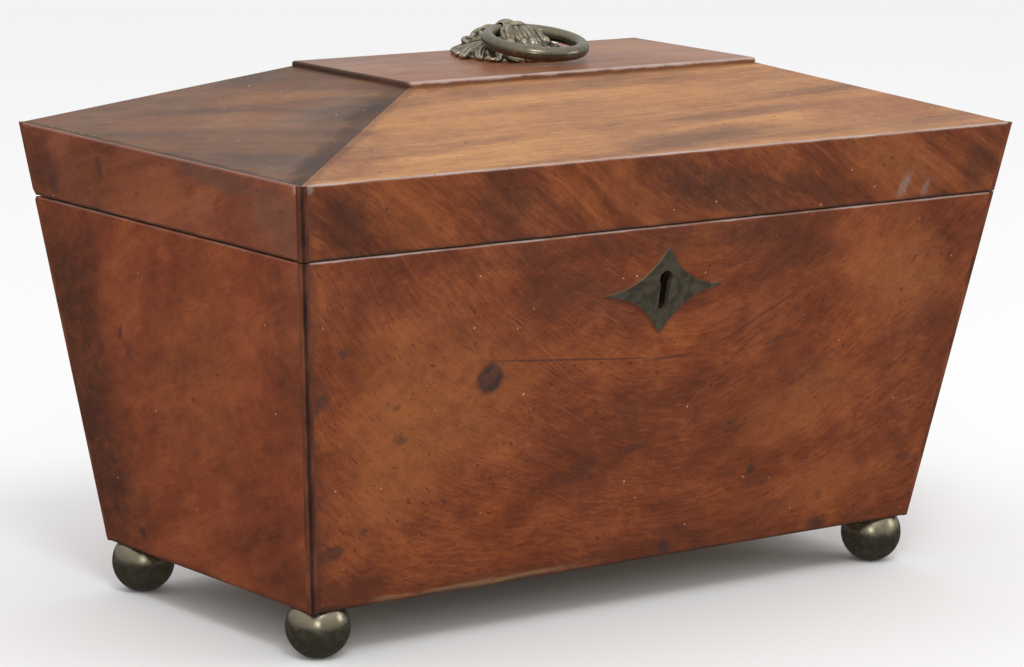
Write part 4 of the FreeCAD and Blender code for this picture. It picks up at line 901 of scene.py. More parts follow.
@dataclass
class Carcase:
    """The canted box: four boards, the dark corner strips, the bottom and the ball feet."""

    joint: float = 135.0
    foot_top: float = 17.0

    def dress(self) -> None:
        """Gives each board its own cut of mahogany, and the strips, bottom and feet their finishes."""
        paint(self.front_board(), "carcase_front")
        paint(self.left_board(), "carcase_left_end")
        paint(self.right_board(), "carcase_right_end")
        paint(self.back_board(), "carcase_back")
        paint(CornerStrip(), "carcase_corner_stringing", "lid_corner_stringing")
        paint(OldDeal(), "carcase_bottom")
        feet = OldBrass("foot_brass", (0.21, 0.182, 0.128), (0.26, 0.225, 0.16), (0.5, 0.38, 0.2),
                        worn_share=0.55, grime_share=0.08, roughness=0.2, texture=0.06)
        paint(feet, "foot_front_left", "foot_front_right", "foot_back_left", "foot_back_right")

    def edges(self, rub: tuple[float, float, float], dirt: float, *corner: Band) -> tuple[Band, ...]:
        """The pale line along the joint with the lid, a painted highlight on the top arris that is partly
        rubbed wear, wear at a corner, and dirt along the foot.

        Args:
            rub: Width, strength and gaps of the pale line, the painted highlight.
            dirt: Width of the dirt.
            *corner: The bands between them.

        Returns:
            The bands in the order that they lie over each other.
        """
        width, strength, gaps = rub
        # A pale band painted along the top arris at the joint: a painted highlight, partly rubbed wear.
        line = Band(UP, self.joint, width, HIGHLIGHT_AND_RUB, strength, gaps)
        return (line, *corner, Band(UP, self.foot_top, dirt, DIRT_AND_SHADE, 0.6, 0.4))

    def front_board(self) -> Mahogany:
        """The feather-figured front, with its knot, crack, stains and rubbed lower edge, and painted shade in
        the keyhole.

        Returns:
            The board's finish.
        """
        marks = (
            Mark(-90, 84, 50, 44, AMBER, 0.5, 10, 1.4),
            Mark(-106, 56, 26, 22, AMBER, 0.4, 30, 1.5),
            Mark(106, 110, 36, 24, AMBER, 0.5, -20, 1.4),
            Mark(70, 66, 46, 18, AMBER, 0.35, 20, 1.4),
            Mark(90, 34, 44, 12, AMBER, 0.3, 4, 1.4),
            Mark(-18, 62, 34, 22, SMOKE_AND_SHADE, 0.2, 25, 1.6),
            Mark(-40, 116, 40, 12, SMOKE_AND_SHADE, 0.34, -12, 1.6),
            Mark(-10, 130, 130, 8, SMOKE_AND_SHADE, 0.36, 0, 1.6),
            Mark(51, 124, 32, 13, SMOKE_AND_SHADE, 0.36, -15, 1.5),
            Mark(124, 92, 22, 12, SMOKE_AND_SHADE, 0.3, 5, 1.5),
            Mark(40, 60, 30, 10, SMOKE_AND_SHADE, 0.16, 30, 1.6),
            Mark(-120, 24, 40, 10, SMOKE_AND_SHADE, 0.45, 0, 1.5),
            Mark(0, 19, 150, 9, SMOKE_AND_SHADE, 0.35, 0, 1.5),
            Mark(-69, 90, 8.5, 7.5, SMOKE_AND_SHADE, 0.5, 0, 0.9),
            Mark(-69.2, 89.4, 6.6, 6.2, INK_STAIN, 0.8, 0, 0.5, 0.55),
            Mark(-67.4, 91.8, 2.9, 3.3, (0.12, 0.042, 0.022), 0.65, 0, 0.7, 0.3),
            Mark(-38, 92.6, 48, 0.5, INK_STAIN, 0.6, -5, 0.9, 0.5),
            Mark(6, 88.8, 14, 0.75, INK_STAIN, 0.55, 1, 0.9, 0.4),
            Mark(-42, 92, 24, 0.4, SCRATCH, 0.22, -42, 1.1),
            Mark(-60, 108, 20, 0.4, SCRATCH, 0.2, -38, 1.1),
            Mark(-34, 74, 14, 0.4, SCRATCH, 0.2, -30, 1.1),
            Mark(-50, 76, 12, 0.4, SCRATCH, 0.22, -55, 1.1),
            Mark(-22, 106, 15, 0.4, SCRATCH, 0.2, -35, 1.1),
            Mark(24, 76, 18, 0.4, SCRATCH, 0.2, 38, 1.1),
            Mark(38, 88, 16, 0.45, SMOKE_AND_SHADE, 0.5, 40, 1.1),
            Mark(20, 64, 14, 0.6, SMOKE_AND_SHADE, 0.45, 45, 1.1),
            Mark(46, 100, 34, 0.8, SMOKE_AND_SHADE, 0.5, 25, 0.9),
            Mark(53, 90, 7, 1.2, INK_STAIN, 0.45, 14, 1.1),
            Mark(-135, 88.6, 3.4, 5.5, INK_STAIN, 0.55, -30, 1.3),
            Mark(-129, 104, 3.2, 2.4, INK_STAIN, 0.5, 0, 1.5),
            Mark(-125, 36.6, 7, 4.2, INK_STAIN, 0.62, 10, 1.6),
            Mark(-113.5, 43, 2.2, 2, INK_STAIN, 0.5, 0, 1.4),
            Mark(-103, 72.6, 3.6, 3, INK_STAIN, 0.5, 0, 1.7),
            Mark(-105.6, 83.7, 2.2, 1.4, INK_STAIN, 0.5, 20, 1.3),
            Mark(-26, 53, 8, 4.5, INK_STAIN, 0.28, 30, 1.7),
            Mark(-3, 58, 6, 1.7, INK_STAIN, 0.5, 12, 1.3),
            Mark(50.5, 44, 2.6, 2.8, INK_STAIN, 0.62, 0, 1.3),
            Mark(85, 19.7, 5.4, 3.6, INK_STAIN, 0.7, 0, 1.4),
            Mark(84.6, 30.2, 2.6, 2.8, INK_STAIN, 0.45, 0, 1.5),
            Mark(123, 40.3, 5.8, 2.2, INK_STAIN, 0.45, 10, 1.6),
            Mark(15.4, 20.3, 5, 3.6, INK_STAIN, 0.65, 0, 1.5),
            Mark(38, 62.4, 2.2, 1.6, INK_STAIN, 0.42, 0, 1.5),
            Mark(-60, 18.4, 52, 1.9, BARE_WOOD, 0.6, 1, 2.1),
            Mark(-100, 18.2, 10, 1.8, BARE_WOOD, 0.5, 0, 2),
            Mark(-124, 17.6, 12, 2.2, DIRT_AND_SHADE, 0.7, 0, 1.5),
            # A near-black patch round the keyhole: painted shade inside the keyhole's hole.
            Mark(0, 113, 9, 15, (0.014, 0.009, 0.006), 0.96, 0, 0),
        )
        return Mahogany(
            "front_mahogany", Facing.FRONT, (30.0, 11.0, 5.0), 0.0,
            ((0.068, 0.0165, 0.0072), (0.169, 0.0395, 0.0118), (0.31, 0.086, 0.0205)),
            feather=0.6, feather_middle=12.0, streak=0.18, mottle=0.72, fibre=0.32, cross=0.12,
            pores=0.75, specks=0.06, pits=0.26, marks=marks,
            bands=self.edges((0.7, 0.85, 0.6), 1.6, canted_edge(FRONT_CORNER, 6.5, SMOKE_AND_SHADE, 0.6)))

    def left_board(self) -> Mahogany:
        """The redder left end, with painted shade darkening it towards the back and the foot.

        Returns:
            The board's finish.
        """
        marks = (
            Mark(-12, 88, 40, 50, AMBER, 0.22, 20, 1),
            # The three large dark clouds towards the back are painted shade, darkening the end towards the
            # back and low down at the back.
            Mark(60, 110, 26, 34, SMOKE_AND_SHADE, 0.5, 10, 1.2),
            Mark(60, 40, 40, 44, SMOKE_AND_SHADE, 0.7, 0, 0.9),
            Mark(66, 84, 40, 60, SMOKE_AND_SHADE, 0.62, 0, 0.8),
            Mark(-48, 26, 26, 16, SMOKE_AND_SHADE, 0.4, 0, 1.3),
            Mark(-66, 100, 14, 40, SMOKE_AND_SHADE, 0.3, 0, 1.2),
            Mark(34, 94.5, 1.6, 5, INK_STAIN, 0.6, 25, 0.9),
            Mark(30, 88, 2.6, 5, INK_STAIN, 0.35, 10, 1.1),
            Mark(-6.2, 78.5, 1.5, 1.3, INK_STAIN, 0.55, 0, 0.8),
            Mark(36, 24.5, 3.2, 2.8, INK_STAIN, 0.7, 0, 1.2),
            Mark(-77, 128, 4, 12, GREY_BLOOM, 0.45, 0, 1.2),
        )
        return Mahogany(
            "left_end_mahogany", Facing.END, (140.0, 60.0, 25.0), -24.0,
            ((0.095, 0.021, 0.0085), (0.2, 0.0445, 0.0138), (0.315, 0.082, 0.0235)),
            streak=0.18, mottle=0.95, fibre=0.2, cross=0.05, pores=0.45, specks=0.02, pits=0.1,
            marks=marks,
            # The band at the canted front corner is a pale brown painted highlight along the arris, partly
            # wear.
            bands=self.edges((0.7, 0.3, 0.9), 1.8, canted_edge(END_CORNER, 1.6, BROWN_HIGHLIGHT_AND_WEAR, 0.5)))

    def right_board(self) -> Mahogany:
        """The right end, in shade in the photograph, cut like the left one.

        Returns:
            The board's finish.
        """
        marks = (
            Mark(20, 84, 44, 40, AMBER, 0.22, -15, 1),
            Mark(-54, 104, 28, 36, SMOKE_AND_SHADE, 0.4, 0, 1.2),
            Mark(10, 24, 60, 14, SMOKE_AND_SHADE, 0.45, 0, 1.3),
            Mark(38, 58, 3, 2.6, INK_STAIN, 0.6, 0, 1.1),
            Mark(-30, 40, 2.4, 1.8, INK_STAIN, 0.6, 0, 1.1),
        )
        return Mahogany(
            "right_end_mahogany", Facing.END, (-260.0, 90.0, -15.0), 20.0,
            ((0.1, 0.024, 0.01), (0.205, 0.049, 0.017), (0.31, 0.086, 0.028)),
            cross=0.1, pores=0.35, specks=0.04, marks=marks,
            bands=self.edges((0.7, 0.5, 0.7), 1.8))

    def back_board(self) -> Mahogany:
        """The plainer back, straight-grained and a little faded.

        Returns:
            The board's finish.
        """
        marks = (
            Mark(-60, 70, 60, 36, AMBER, 0.25, 0, 1.2),
            Mark(80, 40, 50, 20, SMOKE_AND_SHADE, 0.4, 0, 1.3),
            Mark(20, 110, 3, 2.4, INK_STAIN, 0.6, 0, 1.1),
            Mark(-92, 34, 4, 2.8, INK_STAIN, 0.6, 0, 1.1),
            Mark(40, 62, 38, 0.5, INK_STAIN, 0.5, 2, 0.3),
        )
        return Mahogany(
            "back_mahogany", Facing.FRONT, (310.0, -70.0, 45.0), 3.0,
            ((0.095, 0.026, 0.011), (0.195, 0.053, 0.019), (0.3, 0.095, 0.032)),
            streak=0.45, cross=0.06, specks=0.06, marks=marks,
            bands=self.edges((0.75, 0.7, 0.5), 1.8))


@dataclass
class HippedLid:
    """The lid: four canted rails, four slopes to a flat top board, and the lining panel inside."""

    joint: float = 135.4
    rim: float = 159.8
    rim_half_width: float = 151.5
    rim_half_depth: float = 82.0
    top: float = 181.6
    top_half_width: float = 75.0
    top_half_depth: float = 33.0

    def dress(self) -> None:
        """Gives each board of the lid its own cut of mahogany."""
        paint(self.front_rail(), "lid_front_rail")
        paint(self.side_rail("left_rail_mahogany", (-40.0, 210.0, 60.0), -20.0, True), "lid_left_rail")
        paint(self.side_rail("right_rail_mahogany", (60.0, -240.0, 20.0), 24.0, False), "lid_right_rail")
        paint(self.back_rail(), "lid_back_rail")
        paint(self.front_slope(), "lid_front_slope")
        paint(self.left_slope(), "lid_left_slope")
        paint(self.right_slope(), "lid_right_slope")
        paint(self.back_slope(), "lid_back_slope")
        paint(self.top_board(), "lid_top_board")
        lining = Mahogany("lining_mahogany", Facing.FLAT, (500.0, 20.0, 5.0), cross=0.08, specks=0.0,
                          roughness=0.42)
        paint(lining, "lid_lining_panel")

    def rail_edges(self, upper: float, lower: float) -> tuple[Band, Band]:
        """The pale line along a rail's rim, a painted highlight on the arris that is partly rubbed wear, and
        the dirt along its joint, by their strengths.
        """
        # The first band is a pale painted highlight along the rim arris, partly rubbed wear.
        return Band(UP, self.rim, 0.5, HIGHLIGHT_AND_RUB, upper, 0.35), Band(UP, self.joint, 1.2, DIRT_AND_SHADE, lower, 0.3)

    def front_rail(self) -> Mahogany:
        """The front rail: slanting dark and amber figure, with a grey bloom at its right.

        Returns:
            The board's finish.
        """
        marks = (
            Mark(-108, 147, 26, 12, AMBER, 0.22, -35, 1.2),
            Mark(-134, 148, 16, 14, SMOKE_AND_SHADE, 0.6, 0, 1.2),
            Mark(-72, 150, 18, 12, SMOKE_AND_SHADE, 0.55, -35, 1.3),
            Mark(-20, 148, 26, 10, AMBER, 0.25, -35, 1.3),
            Mark(16, 147, 44, 11, SMOKE_AND_SHADE, 0.62, -16, 1.5),
            Mark(60, 143, 24, 7, SMOKE_AND_SHADE, 0.45, -20, 1.5),
            Mark(96, 149, 40, 12, AMBER, 0.42, -20, 1.4),
            Mark(138, 146, 12, 12, SMOKE_AND_SHADE, 0.5, 0, 1.2),
            Mark(103.5, 140.5, 3.4, 6.5, (0.24, 0.2, 0.18), 0.45, -25, 1.6),
            Mark(114, 139, 2.4, 4.5, (0.24, 0.2, 0.18), 0.35, -20, 1.6),
            Mark(96, 151, 0.9, 0.9, INK_STAIN, 0.8, 0, 0.5),
            Mark(-150.5, 158.6, 4, 2.4, HIGHLIGHT_AND_RUB, 0.6, 0, 1.4),
        )
        return Mahogany(
            "front_rail_mahogany", Facing.FRONT, (80.0, 37.0, 90.0), -33.0,
            ((0.05, 0.0135, 0.0065), (0.155, 0.038, 0.0115), (0.3, 0.084, 0.021)),
            streak=0.5, mottle=0.65, fibre=0.3, cross=0.06, specks=0.05, pits=0.18, marks=marks,
            bands=(*self.rail_edges(0.9, 0.5), canted_edge(FRONT_CORNER, 7.0, SMOKE_AND_SHADE, 0.6)))

    def side_rail(self, name: str, seed: Point, turn: float, bloom: bool) -> Mahogany:
        """A rail at one end of the lid.

        Args:
            name: The finish's name.
            seed: Where the grain starts.
            turn: The grain's slant in degrees.
            bloom: Whether the polish has gone grey at the front corner.

        Returns:
            The rail's finish.
        """
        marks = (
            Mark(10, 147, 50, 12, AMBER, 0.2, 0, 1.2),
            Mark(70, 146, 14, 16, SMOKE_AND_SHADE, 0.5, 0, 1.2),
            Mark(34, 151, 3.5, 5, INK_STAIN, 0.5, 0, 1.3),
            Mark(64, 141, 5, 5, INK_STAIN, 0.5, 0, 1.4),
        )
        if bloom:
            marks += (
                Mark(-81, 158.6, 3.4, 2.6, HIGHLIGHT_AND_RUB, 0.5, 0, 1.4),
                Mark(-68, 148, 20, 15, GREY_BLOOM, 0.42, 20, 1.7),
                Mark(-34, 156, 34, 5, GREY_BLOOM, 0.5, 4, 1.5),
            )
        return Mahogany(
            name, Facing.END, seed, turn,
            ((0.085, 0.023, 0.011), (0.19, 0.051, 0.022), (0.305, 0.095, 0.038)),
            mottle=0.7, fibre=0.2, cross=0.04, pores=0.35, specks=0.04, marks=marks,
            # The band at the canted corner is a pale brown painted highlight along the arris, partly wear.
            bands=(*self.rail_edges(0.12, 0.7), canted_edge(END_CORNER, 2.0, BROWN_HIGHLIGHT_AND_WEAR, 0.6)))

    def back_rail(self) -> Mahogany:
        """The plain back rail, which carries the hinges."""
        return Mahogany(
            "back_rail_mahogany", Facing.FRONT, (-200.0, 55.0, 30.0), -4.0,
            ((0.085, 0.023, 0.01), (0.185, 0.05, 0.0185), (0.29, 0.09, 0.031)),
            cross=0.05, specks=0.05, bands=self.rail_edges(0.7, 0.5))

    def slope_edges(self, normal: tuple[float, float], rim: float, top: float) -> tuple[Band, Band]:
        """The pale line along a slope's rim, a painted highlight that is partly rubbed wear, and a dark line
        along its join with the top.

        Args:
            normal: The way that the slope faces.
            rim: Strength at the rim.
            top: Strength at the top.

        Returns:
            The two bands.
        """
        levels = (self.rim_half_width, self.top_half_width)
        if normal in (UP, DOWN):
            levels = (self.rim_half_depth, self.top_half_depth)
        # The rim band is a pale painted highlight, partly rubbed wear; the band at the top is a dark line
        # along the join.
        return (Band(normal, levels[0], 0.5, HIGHLIGHT_AND_RUB, rim, 0.35),
                Band(normal, levels[1], 1.6, DIRT_AND_SHADE, top, 0.3))

    def hip(self, side_x: float, side_y: float, width: float, colour: Colour, strength: float) -> Band:
        """A band along the hip between two slopes.

        Args:
            side_x: -1 or 1 for the left or right hip.
            side_y: -1 or 1 for the front or back hip.
            width: How far the band reaches.
            colour: The band's colour.
            strength: How much of it shows.

        Returns:
            The band.
        """
        run_x = self.rim_half_width - self.top_half_width
        run_y = self.rim_half_depth - self.top_half_depth
        length = math.hypot(run_x, run_y)
        normal = (side_x * run_y / length, -side_y * run_x / length)
        level = (self.top_half_width * run_y - self.top_half_depth * run_x) / length
        return Band(normal, level, width, colour, strength, 0.25)

    def front_slope(self) -> Mahogany:
        """The golden front slope, straight-grained along the caddy.

        Returns:
            The board's finish.
        """
        marks = (
            Mark(-66, -54, 60, 12, (0.46, 0.2, 0.058), 0.4, 1, 1.3),
            Mark(26, -50, 50, 7, (0.46, 0.2, 0.06), 0.4, 2, 1.3),
            Mark(100, -66, 50, 14, (0.25, 0.075, 0.02), 0.6, -6, 1.4),
            Mark(10, -75, 50, 6, (0.09, 0.032, 0.014), 0.7, 4, 1.5),
            Mark(40, -63, 44, 4, (0.13, 0.047, 0.02), 0.5, 3, 1.5),
            Mark(-30, -38, 60, 4, (0.16, 0.06, 0.024), 0.45, 1, 1.4),
            Mark(-126, -73, 26, 9, (0.2, 0.062, 0.022), 0.6, 0, 1.4),
        )
        return Mahogany(
            "front_slope_mahogany", Facing.FLAT, (-90.0, 160.0, 20.0), 1.5,
            ((0.145, 0.052, 0.0165), (0.325, 0.134, 0.042), (0.5, 0.233, 0.074)),
            wander=3.0, streak=0.8, mottle=0.42, fibre=0.34, cross=0.03, pores=0.4, specks=0.06,
            pits=0.1, roughness=0.33, marks=marks,
            bands=(*self.slope_edges(DOWN, 0.85, 0.4), self.hip(-1.0, -1.0, 3.0, SMOKE_AND_SHADE, 0.4)))

    def left_slope(self) -> Mahogany:
        """The dark left slope, with an amber band that curves across it and soot along the hip.

        Returns:
            The board's finish.
        """
        marks = (
            Mark(-118, 0, 44, 9, (0.25, 0.098, 0.034), 0.55, 112, 1.4),
            Mark(-98, 6, 34, 8, (0.27, 0.11, 0.036), 0.6, 122, 1.3),
            Mark(-134, 34, 26, 9, (0.2, 0.075, 0.027), 0.45, 108, 1.4),
            Mark(-100, -32, 24, 15, (0.04, 0.024, 0.016), 0.55, 125, 1.5),
            Mark(-140, -50, 34, 9, (0.05, 0.026, 0.017), 0.5, 95, 1.5),
            Mark(-92, 40, 24, 12, (0.05, 0.027, 0.018), 0.5, 110, 1.5),
        )
        # The dark line at the top join on this side is painted shade under the top board's left edge.
        _, top_edge = self.slope_edges(LEFT, 0.0, 0.6)
        bands = (
            # Painted shade along the left rim, which faces away from the light.
            Band(LEFT, self.rim_half_width, 2.4, DIRT_AND_SHADE, 0.6, 0.2),
            top_edge,
            self.hip(-1.0, -1.0, 13.0, (0.026, 0.016, 0.012), 0.66),
        )
        return Mahogany(
            "left_slope_mahogany", Facing.FLAT, (220.0, -45.0, 70.0), 110.0,
            ((0.066, 0.0265, 0.0118), (0.14, 0.054, 0.0205), (0.225, 0.091, 0.03)),
            wander=8.0, streak=0.6, mottle=0.6, fibre=0.3, cross=0.04, pores=0.3, specks=0.24,
            pits=0.1, roughness=0.42, specular=0.24, coat=0.03, marks=marks, bands=bands)

    def right_slope(self) -> Mahogany:
        """The right slope, out of sight in the photograph, between the front and left ones in colour.

        Returns:
            The board's finish.
        """
        marks = (
            Mark(112, 14, 20, 40, AMBER, 0.3, -20, 1.2),
            Mark(86, -8, 10, 24, (0.1, 0.05, 0.03), 0.4, 0, 1.3),
        )
        return Mahogany(
            "right_slope_mahogany", Facing.FLAT, (70.0, 330.0, 10.0), 95.0,
            ((0.09, 0.033, 0.0145), (0.2, 0.076, 0.028), (0.33, 0.137, 0.046)),
            streak=0.7, cross=0.03, pores=0.3, specks=0.1, marks=marks,
            bands=(*self.slope_edges(RIGHT, 0.5, 0.5), self.hip(1.0, -1.0, 6.0, SMOKE_AND_SHADE, 0.4)))

    def back_slope(self) -> Mahogany:
        """The back slope, straight-grained like the front one."""
        return Mahogany(
            "back_slope_mahogany", Facing.FLAT, (150.0, -310.0, 35.0), -2.0,
            ((0.12, 0.042, 0.016), (0.26, 0.1, 0.034), (0.41, 0.178, 0.06)),
            wander=4.0, streak=0.8, cross=0.03, pores=0.3, specks=0.08,
            bands=(*self.slope_edges(UP, 0.6, 0.4), self.hip(-1.0, 1.0, 5.0, SMOKE_AND_SHADE, 0.4)))

    def top_board(self) -> Mahogany:
        """The flat top: rosy, with a pale front edge that is a painted highlight on the arris and partly
        rubbed wear, and painted shade along its left edge.

        Returns:
            The board's finish.
        """
        diagonal = math.sqrt(0.5)
        arris = (self.top_half_depth + self.top) * diagonal
        bands = (
            Band(DOWN, self.top_half_depth, 0.5, SMOKE_AND_SHADE, 0.4, 0.1),
            # Painted highlight along the front arris, partly rubbed wear.
            Band((0.0, -diagonal), arris, 0.85, HIGHLIGHT_AND_RUB, 0.95, 0.1, diagonal),
            # Pale painted highlight along the back edge, partly rubbed wear.
            Band(UP, self.top_half_depth, 0.9, HIGHLIGHT_AND_RUB, 0.6, 0.5),
            # Painted shade along the left edge, which faces away from the light.
            Band(LEFT, self.top_half_width, 1.4, DIRT_AND_SHADE, 0.85, 0.15),
            # Pale painted highlight along the right edge, partly rubbed wear.
            Band(RIGHT, self.top_half_width, 0.9, HIGHLIGHT_AND_RUB, 0.6, 0.5),
        )
        marks = (
            Mark(0, 9, 26, 26, SMOKE_AND_SHADE, 0.35, 0, 0.8),
            Mark(58, 0, 44, 40, (0.38, 0.185, 0.085), 0.4, 0, 1),
        )
        return Mahogany(
            "top_mahogany", Facing.FLAT, (-350.0, -90.0, 15.0), -3.0,
            ((0.125, 0.04, 0.016), (0.245, 0.085, 0.034), (0.37, 0.144, 0.055)),
            wander=5.0, streak=0.6, mottle=0.45, cross=0.03, pits=0.04, specular=0.24, pores=0.35,
            specks=0.09, roughness=0.34, marks=marks, bands=bands)


@dataclass
class LionHandle:
    """The cast lion mask on the lid's top, with the ring through its mouth."""

    lid_top: float = 181.6
    back: float = 9.6
    plate_radius: float = 18.4
    plate_thick: float = 1.4
    plate_middle: float = 0.6
    plate_edge: float = 0.4
    dome_rise: float = 5.7
    stud_radius: float = 2.0
    stud_back: float = 9.0
    stud_foot: float = 169.8
    stud_lap: float = 1.0
    stud_edge: float = 0.3
    ring_radius: float = 16.2
    ring_tube: float = 4.8
    ring_axis_back: float = 11.8
    ring_axis_height: float = 8.5
    ring_tilt: float = 8.34
    ring_room: float = 0.3
    mouth_half: float = 7.8
    ridge_lift: float = 0.35
    curl_inset: float = 0.8
    curl_stretch: float = 1.2
    lock_size: float = 0.96
    lock_swing: float = 0.04
    lock_pace: float = 2.4
    voxel: float = 0.3
    smooth_angle: float = 50.0
    seat_height: float = 0.02
    seat_merge: float = 0.004
    room_merge: float = 0.01
    hollow_rounds: int = 10
    hollow_gain: float = 1.6

    def build(self) -> None:
        """Models the mask from lumps and locks, casts them in one, opens its mouth and dresses it."""
        forms = [*self.plate(), *self.face(), *self.beard(), *self.mane()]
        mask = join(forms, "lion_mask")
        apply_modifier(mask, "REMESH", mode="VOXEL", voxel_size=self.voxel * MM, use_smooth_shade=True)
        apply_modifier(mask, "SMOOTH", factor=0.5, iterations=2)
        self.open_mouth(mask)
        self.seat(mask)
        self.note_hollows(mask)
        mask = join([mask, self.stud()], "lion_mask")
        take([mask])
        bpy.ops.object.shade_smooth_by_angle(angle=math.radians(self.smooth_angle))
        brass = OldBrass("mask_brass", worn=(0.36, 0.31, 0.22), worn_share=0.85, grime_share=0.9,
                         roughness=0.32, texture=0.2, hollow_attribute="hollow")
        finish_piece(mask, "lid", "handle_mask", brass)
        ring = OldBrass("ring_brass", (0.14, 0.122, 0.086), (0.18, 0.158, 0.112), (0.5, 0.42, 0.28),
                        worn_share=0.35, grime_share=0.12, roughness=0.22, texture=0.03)
        paint(ring, "handle_ring")
        paint(OldBrass("nut_brass"), "handle_nut")

    def at(self, x: float, y: float, height: float) -> Vector:
        """Returns a place over the lid's top in metres."""
        return Vector((x, y, self.lid_top + height)) * MM

    def lump(self, x: float, y: float, top: float, half: Point, turn: float = 0.0) -> Piece:
        """Adds a rounded lump.

        Args:
            x: Its middle, to the right.
            y: Its middle, to the back.
            top: Height of its top over the lid.
            half: Half its width, length and height.
            turn: Its turn about the upright, in degrees.

        Returns:
            The lump.
        """
        deselect()
        bpy.ops.mesh.primitive_uv_sphere_add(segments=32, ring_count=16, radius=MM, scale=half,
                                             rotation=(0.0, 0.0, math.radians(turn)),
                                             location=self.at(x, y, top - half[2]))
        return bpy.context.object

    def strand(self, path: Sequence[Point], radii: Sequence[float], side: float = 1.0) -> Piece:
        """Draws one lock of hair as a tapered bar.

        Args:
            path: Points that it follows: right, back and height.
            radii: Its radius at each point.
            side: -1 to draw it mirrored, on the left.

        Returns:
            The strand as a mesh.
        """
        deselect()
        bpy.ops.curve.primitive_nurbs_path_add()
        piece = bpy.context.object
        piece.location = (0.0, 0.0, 0.0)
        spline = piece.data.splines[0]
        while len(spline.points) < len(path):
            spline.points.add(1)
        for point, (x, y, height), radius in zip(spline.points, path, radii):
            point.co = (*self.at(side * x, y, height), 1.0)
            point.radius = radius
        spline.use_endpoint_u = True
        spline.order_u = 3
        piece.data.bevel_depth = MM
        piece.data.bevel_resolution = 3
        piece.data.resolution_u = 4
        piece.data.use_fill_caps = True
        bpy.ops.object.convert(target="MESH")
        return bpy.context.object

    def lock(self, reach: Sequence[tuple[float, float]], width: float, sway: float,
             tip: float) -> Piece:
        """Models one lock of hair that points right from the middle: three strands that meet in a curled tip.

        Args:
            reach: Distance from the mask's middle and height at five places along the lock.
            width: Half the lock's width at its middle, in degrees.
            sway: How far the tip swings round, in degrees.
            tip: Size of the curl at the tip.

        Returns:
            The lock.
        """
        fan = (0.5, 0.85, 1.0, 0.8, 0.3)
        swing = (0.0, -0.2, 0.1, 0.7, 1.0)
        thick = (0.85, 1.1, 1.1, 0.95, 0.65)
        strands = []
        for side, lift in ((-1.0, 0.0), (0.0, self.ridge_lift), (1.0, 0.0)):
            path = []
            for (radius, height), share, turn in zip(reach, fan, swing):
                angle = math.radians(side * width * share + sway * turn)
                path.append((radius * math.cos(angle), self.back + radius * math.sin(angle), height + lift))
            strands.append(self.strand(path, thick))
        radius, height = reach[-1]
        curl = radius - self.curl_inset
        angle = math.radians(sway)
        strands.append(self.lump(curl * math.cos(angle), self.back + curl * math.sin(angle), height + tip,
                                 (self.curl_stretch * tip, tip, tip)))
        return join(strands, "mane_lock")

    def mane(self) -> list[Piece]:
        """Ranges locks round the mask: a low outer fringe, a fuller ring over it and a crown at the back.

        Returns:
            The locks.
        """
        outer = ((9.0, 3.2), (13.0, 3.2), (16.5, 2.5), (19.3, 1.5), (20.9, 0.8))
        middle = ((7.5, 4.6), (10.5, 4.6), (13.2, 3.9), (15.6, 2.9), (17.3, 2.3))
        crown = ((4.5, 6.6), (7.0, 6.9), (9.4, 6.2), (11.4, 5.1), (13.0, 4.4))
        return self.ranged((
            (self.lock(outer, 6.4, 10.0, 1.05), range(10, 370, 20)),
            (self.lock(outer, 5.6, -8.0, 0.9), range(20, 380, 40)),
            (self.lock(middle, 8.0, -11.0, 1.15), range(-20, 220, 24)),
            (self.lock(crown, 9.6, 10.0, 1.2), range(28, 92, 21)),
            (self.lock(crown, 9.6, -10.0, 1.2), range(152, 88, -21)),
        ))

    def ranged(self, rows: Iterable[tuple[Piece, Iterable[float]]]) -> list[Piece]:
        """Copies each pattern lock round the mask's middle, a little longer or shorter each time.

        Args:
            rows: Each pattern with the angles that its copies point to.

        Returns:
            The copies.
        """
        copies = []
        centre = self.at(0.0, self.back, 0.0)
        for pattern, angles in rows:
            for index, angle in enumerate(angles):
                size = self.lock_size + self.lock_swing * math.cos(self.lock_pace * index)
                turn = (Matrix.Translation(centre) @ Matrix.Rotation(math.radians(angle), 4, "Z")
                        @ Matrix.Diagonal((size, size, 1.0, 1.0)) @ Matrix.Translation(-centre))
                copies.append(turned_copy(pattern, turn))
            bpy.data.objects.remove(pattern)
        return copies

    def plate(self) -> list[Piece]:
        """Models the round back plate, softened at its edge, and the dome that the mane lies on.

        Returns:
            The plate and the dome.
        """
        deselect()
        bpy.ops.mesh.primitive_cylinder_add(vertices=96, radius=self.plate_radius * MM,
                                            depth=self.plate_thick * MM,
                                            location=self.at(0.0, self.back, self.plate_middle))
        disc = bpy.context.object
        apply_modifier(disc, "BEVEL", width=self.plate_edge * MM, segments=3)
        half = (self.plate_radius, self.plate_radius, self.dome_rise)
        return [disc, self.lump(0.0, self.back, self.dome_rise, half)]

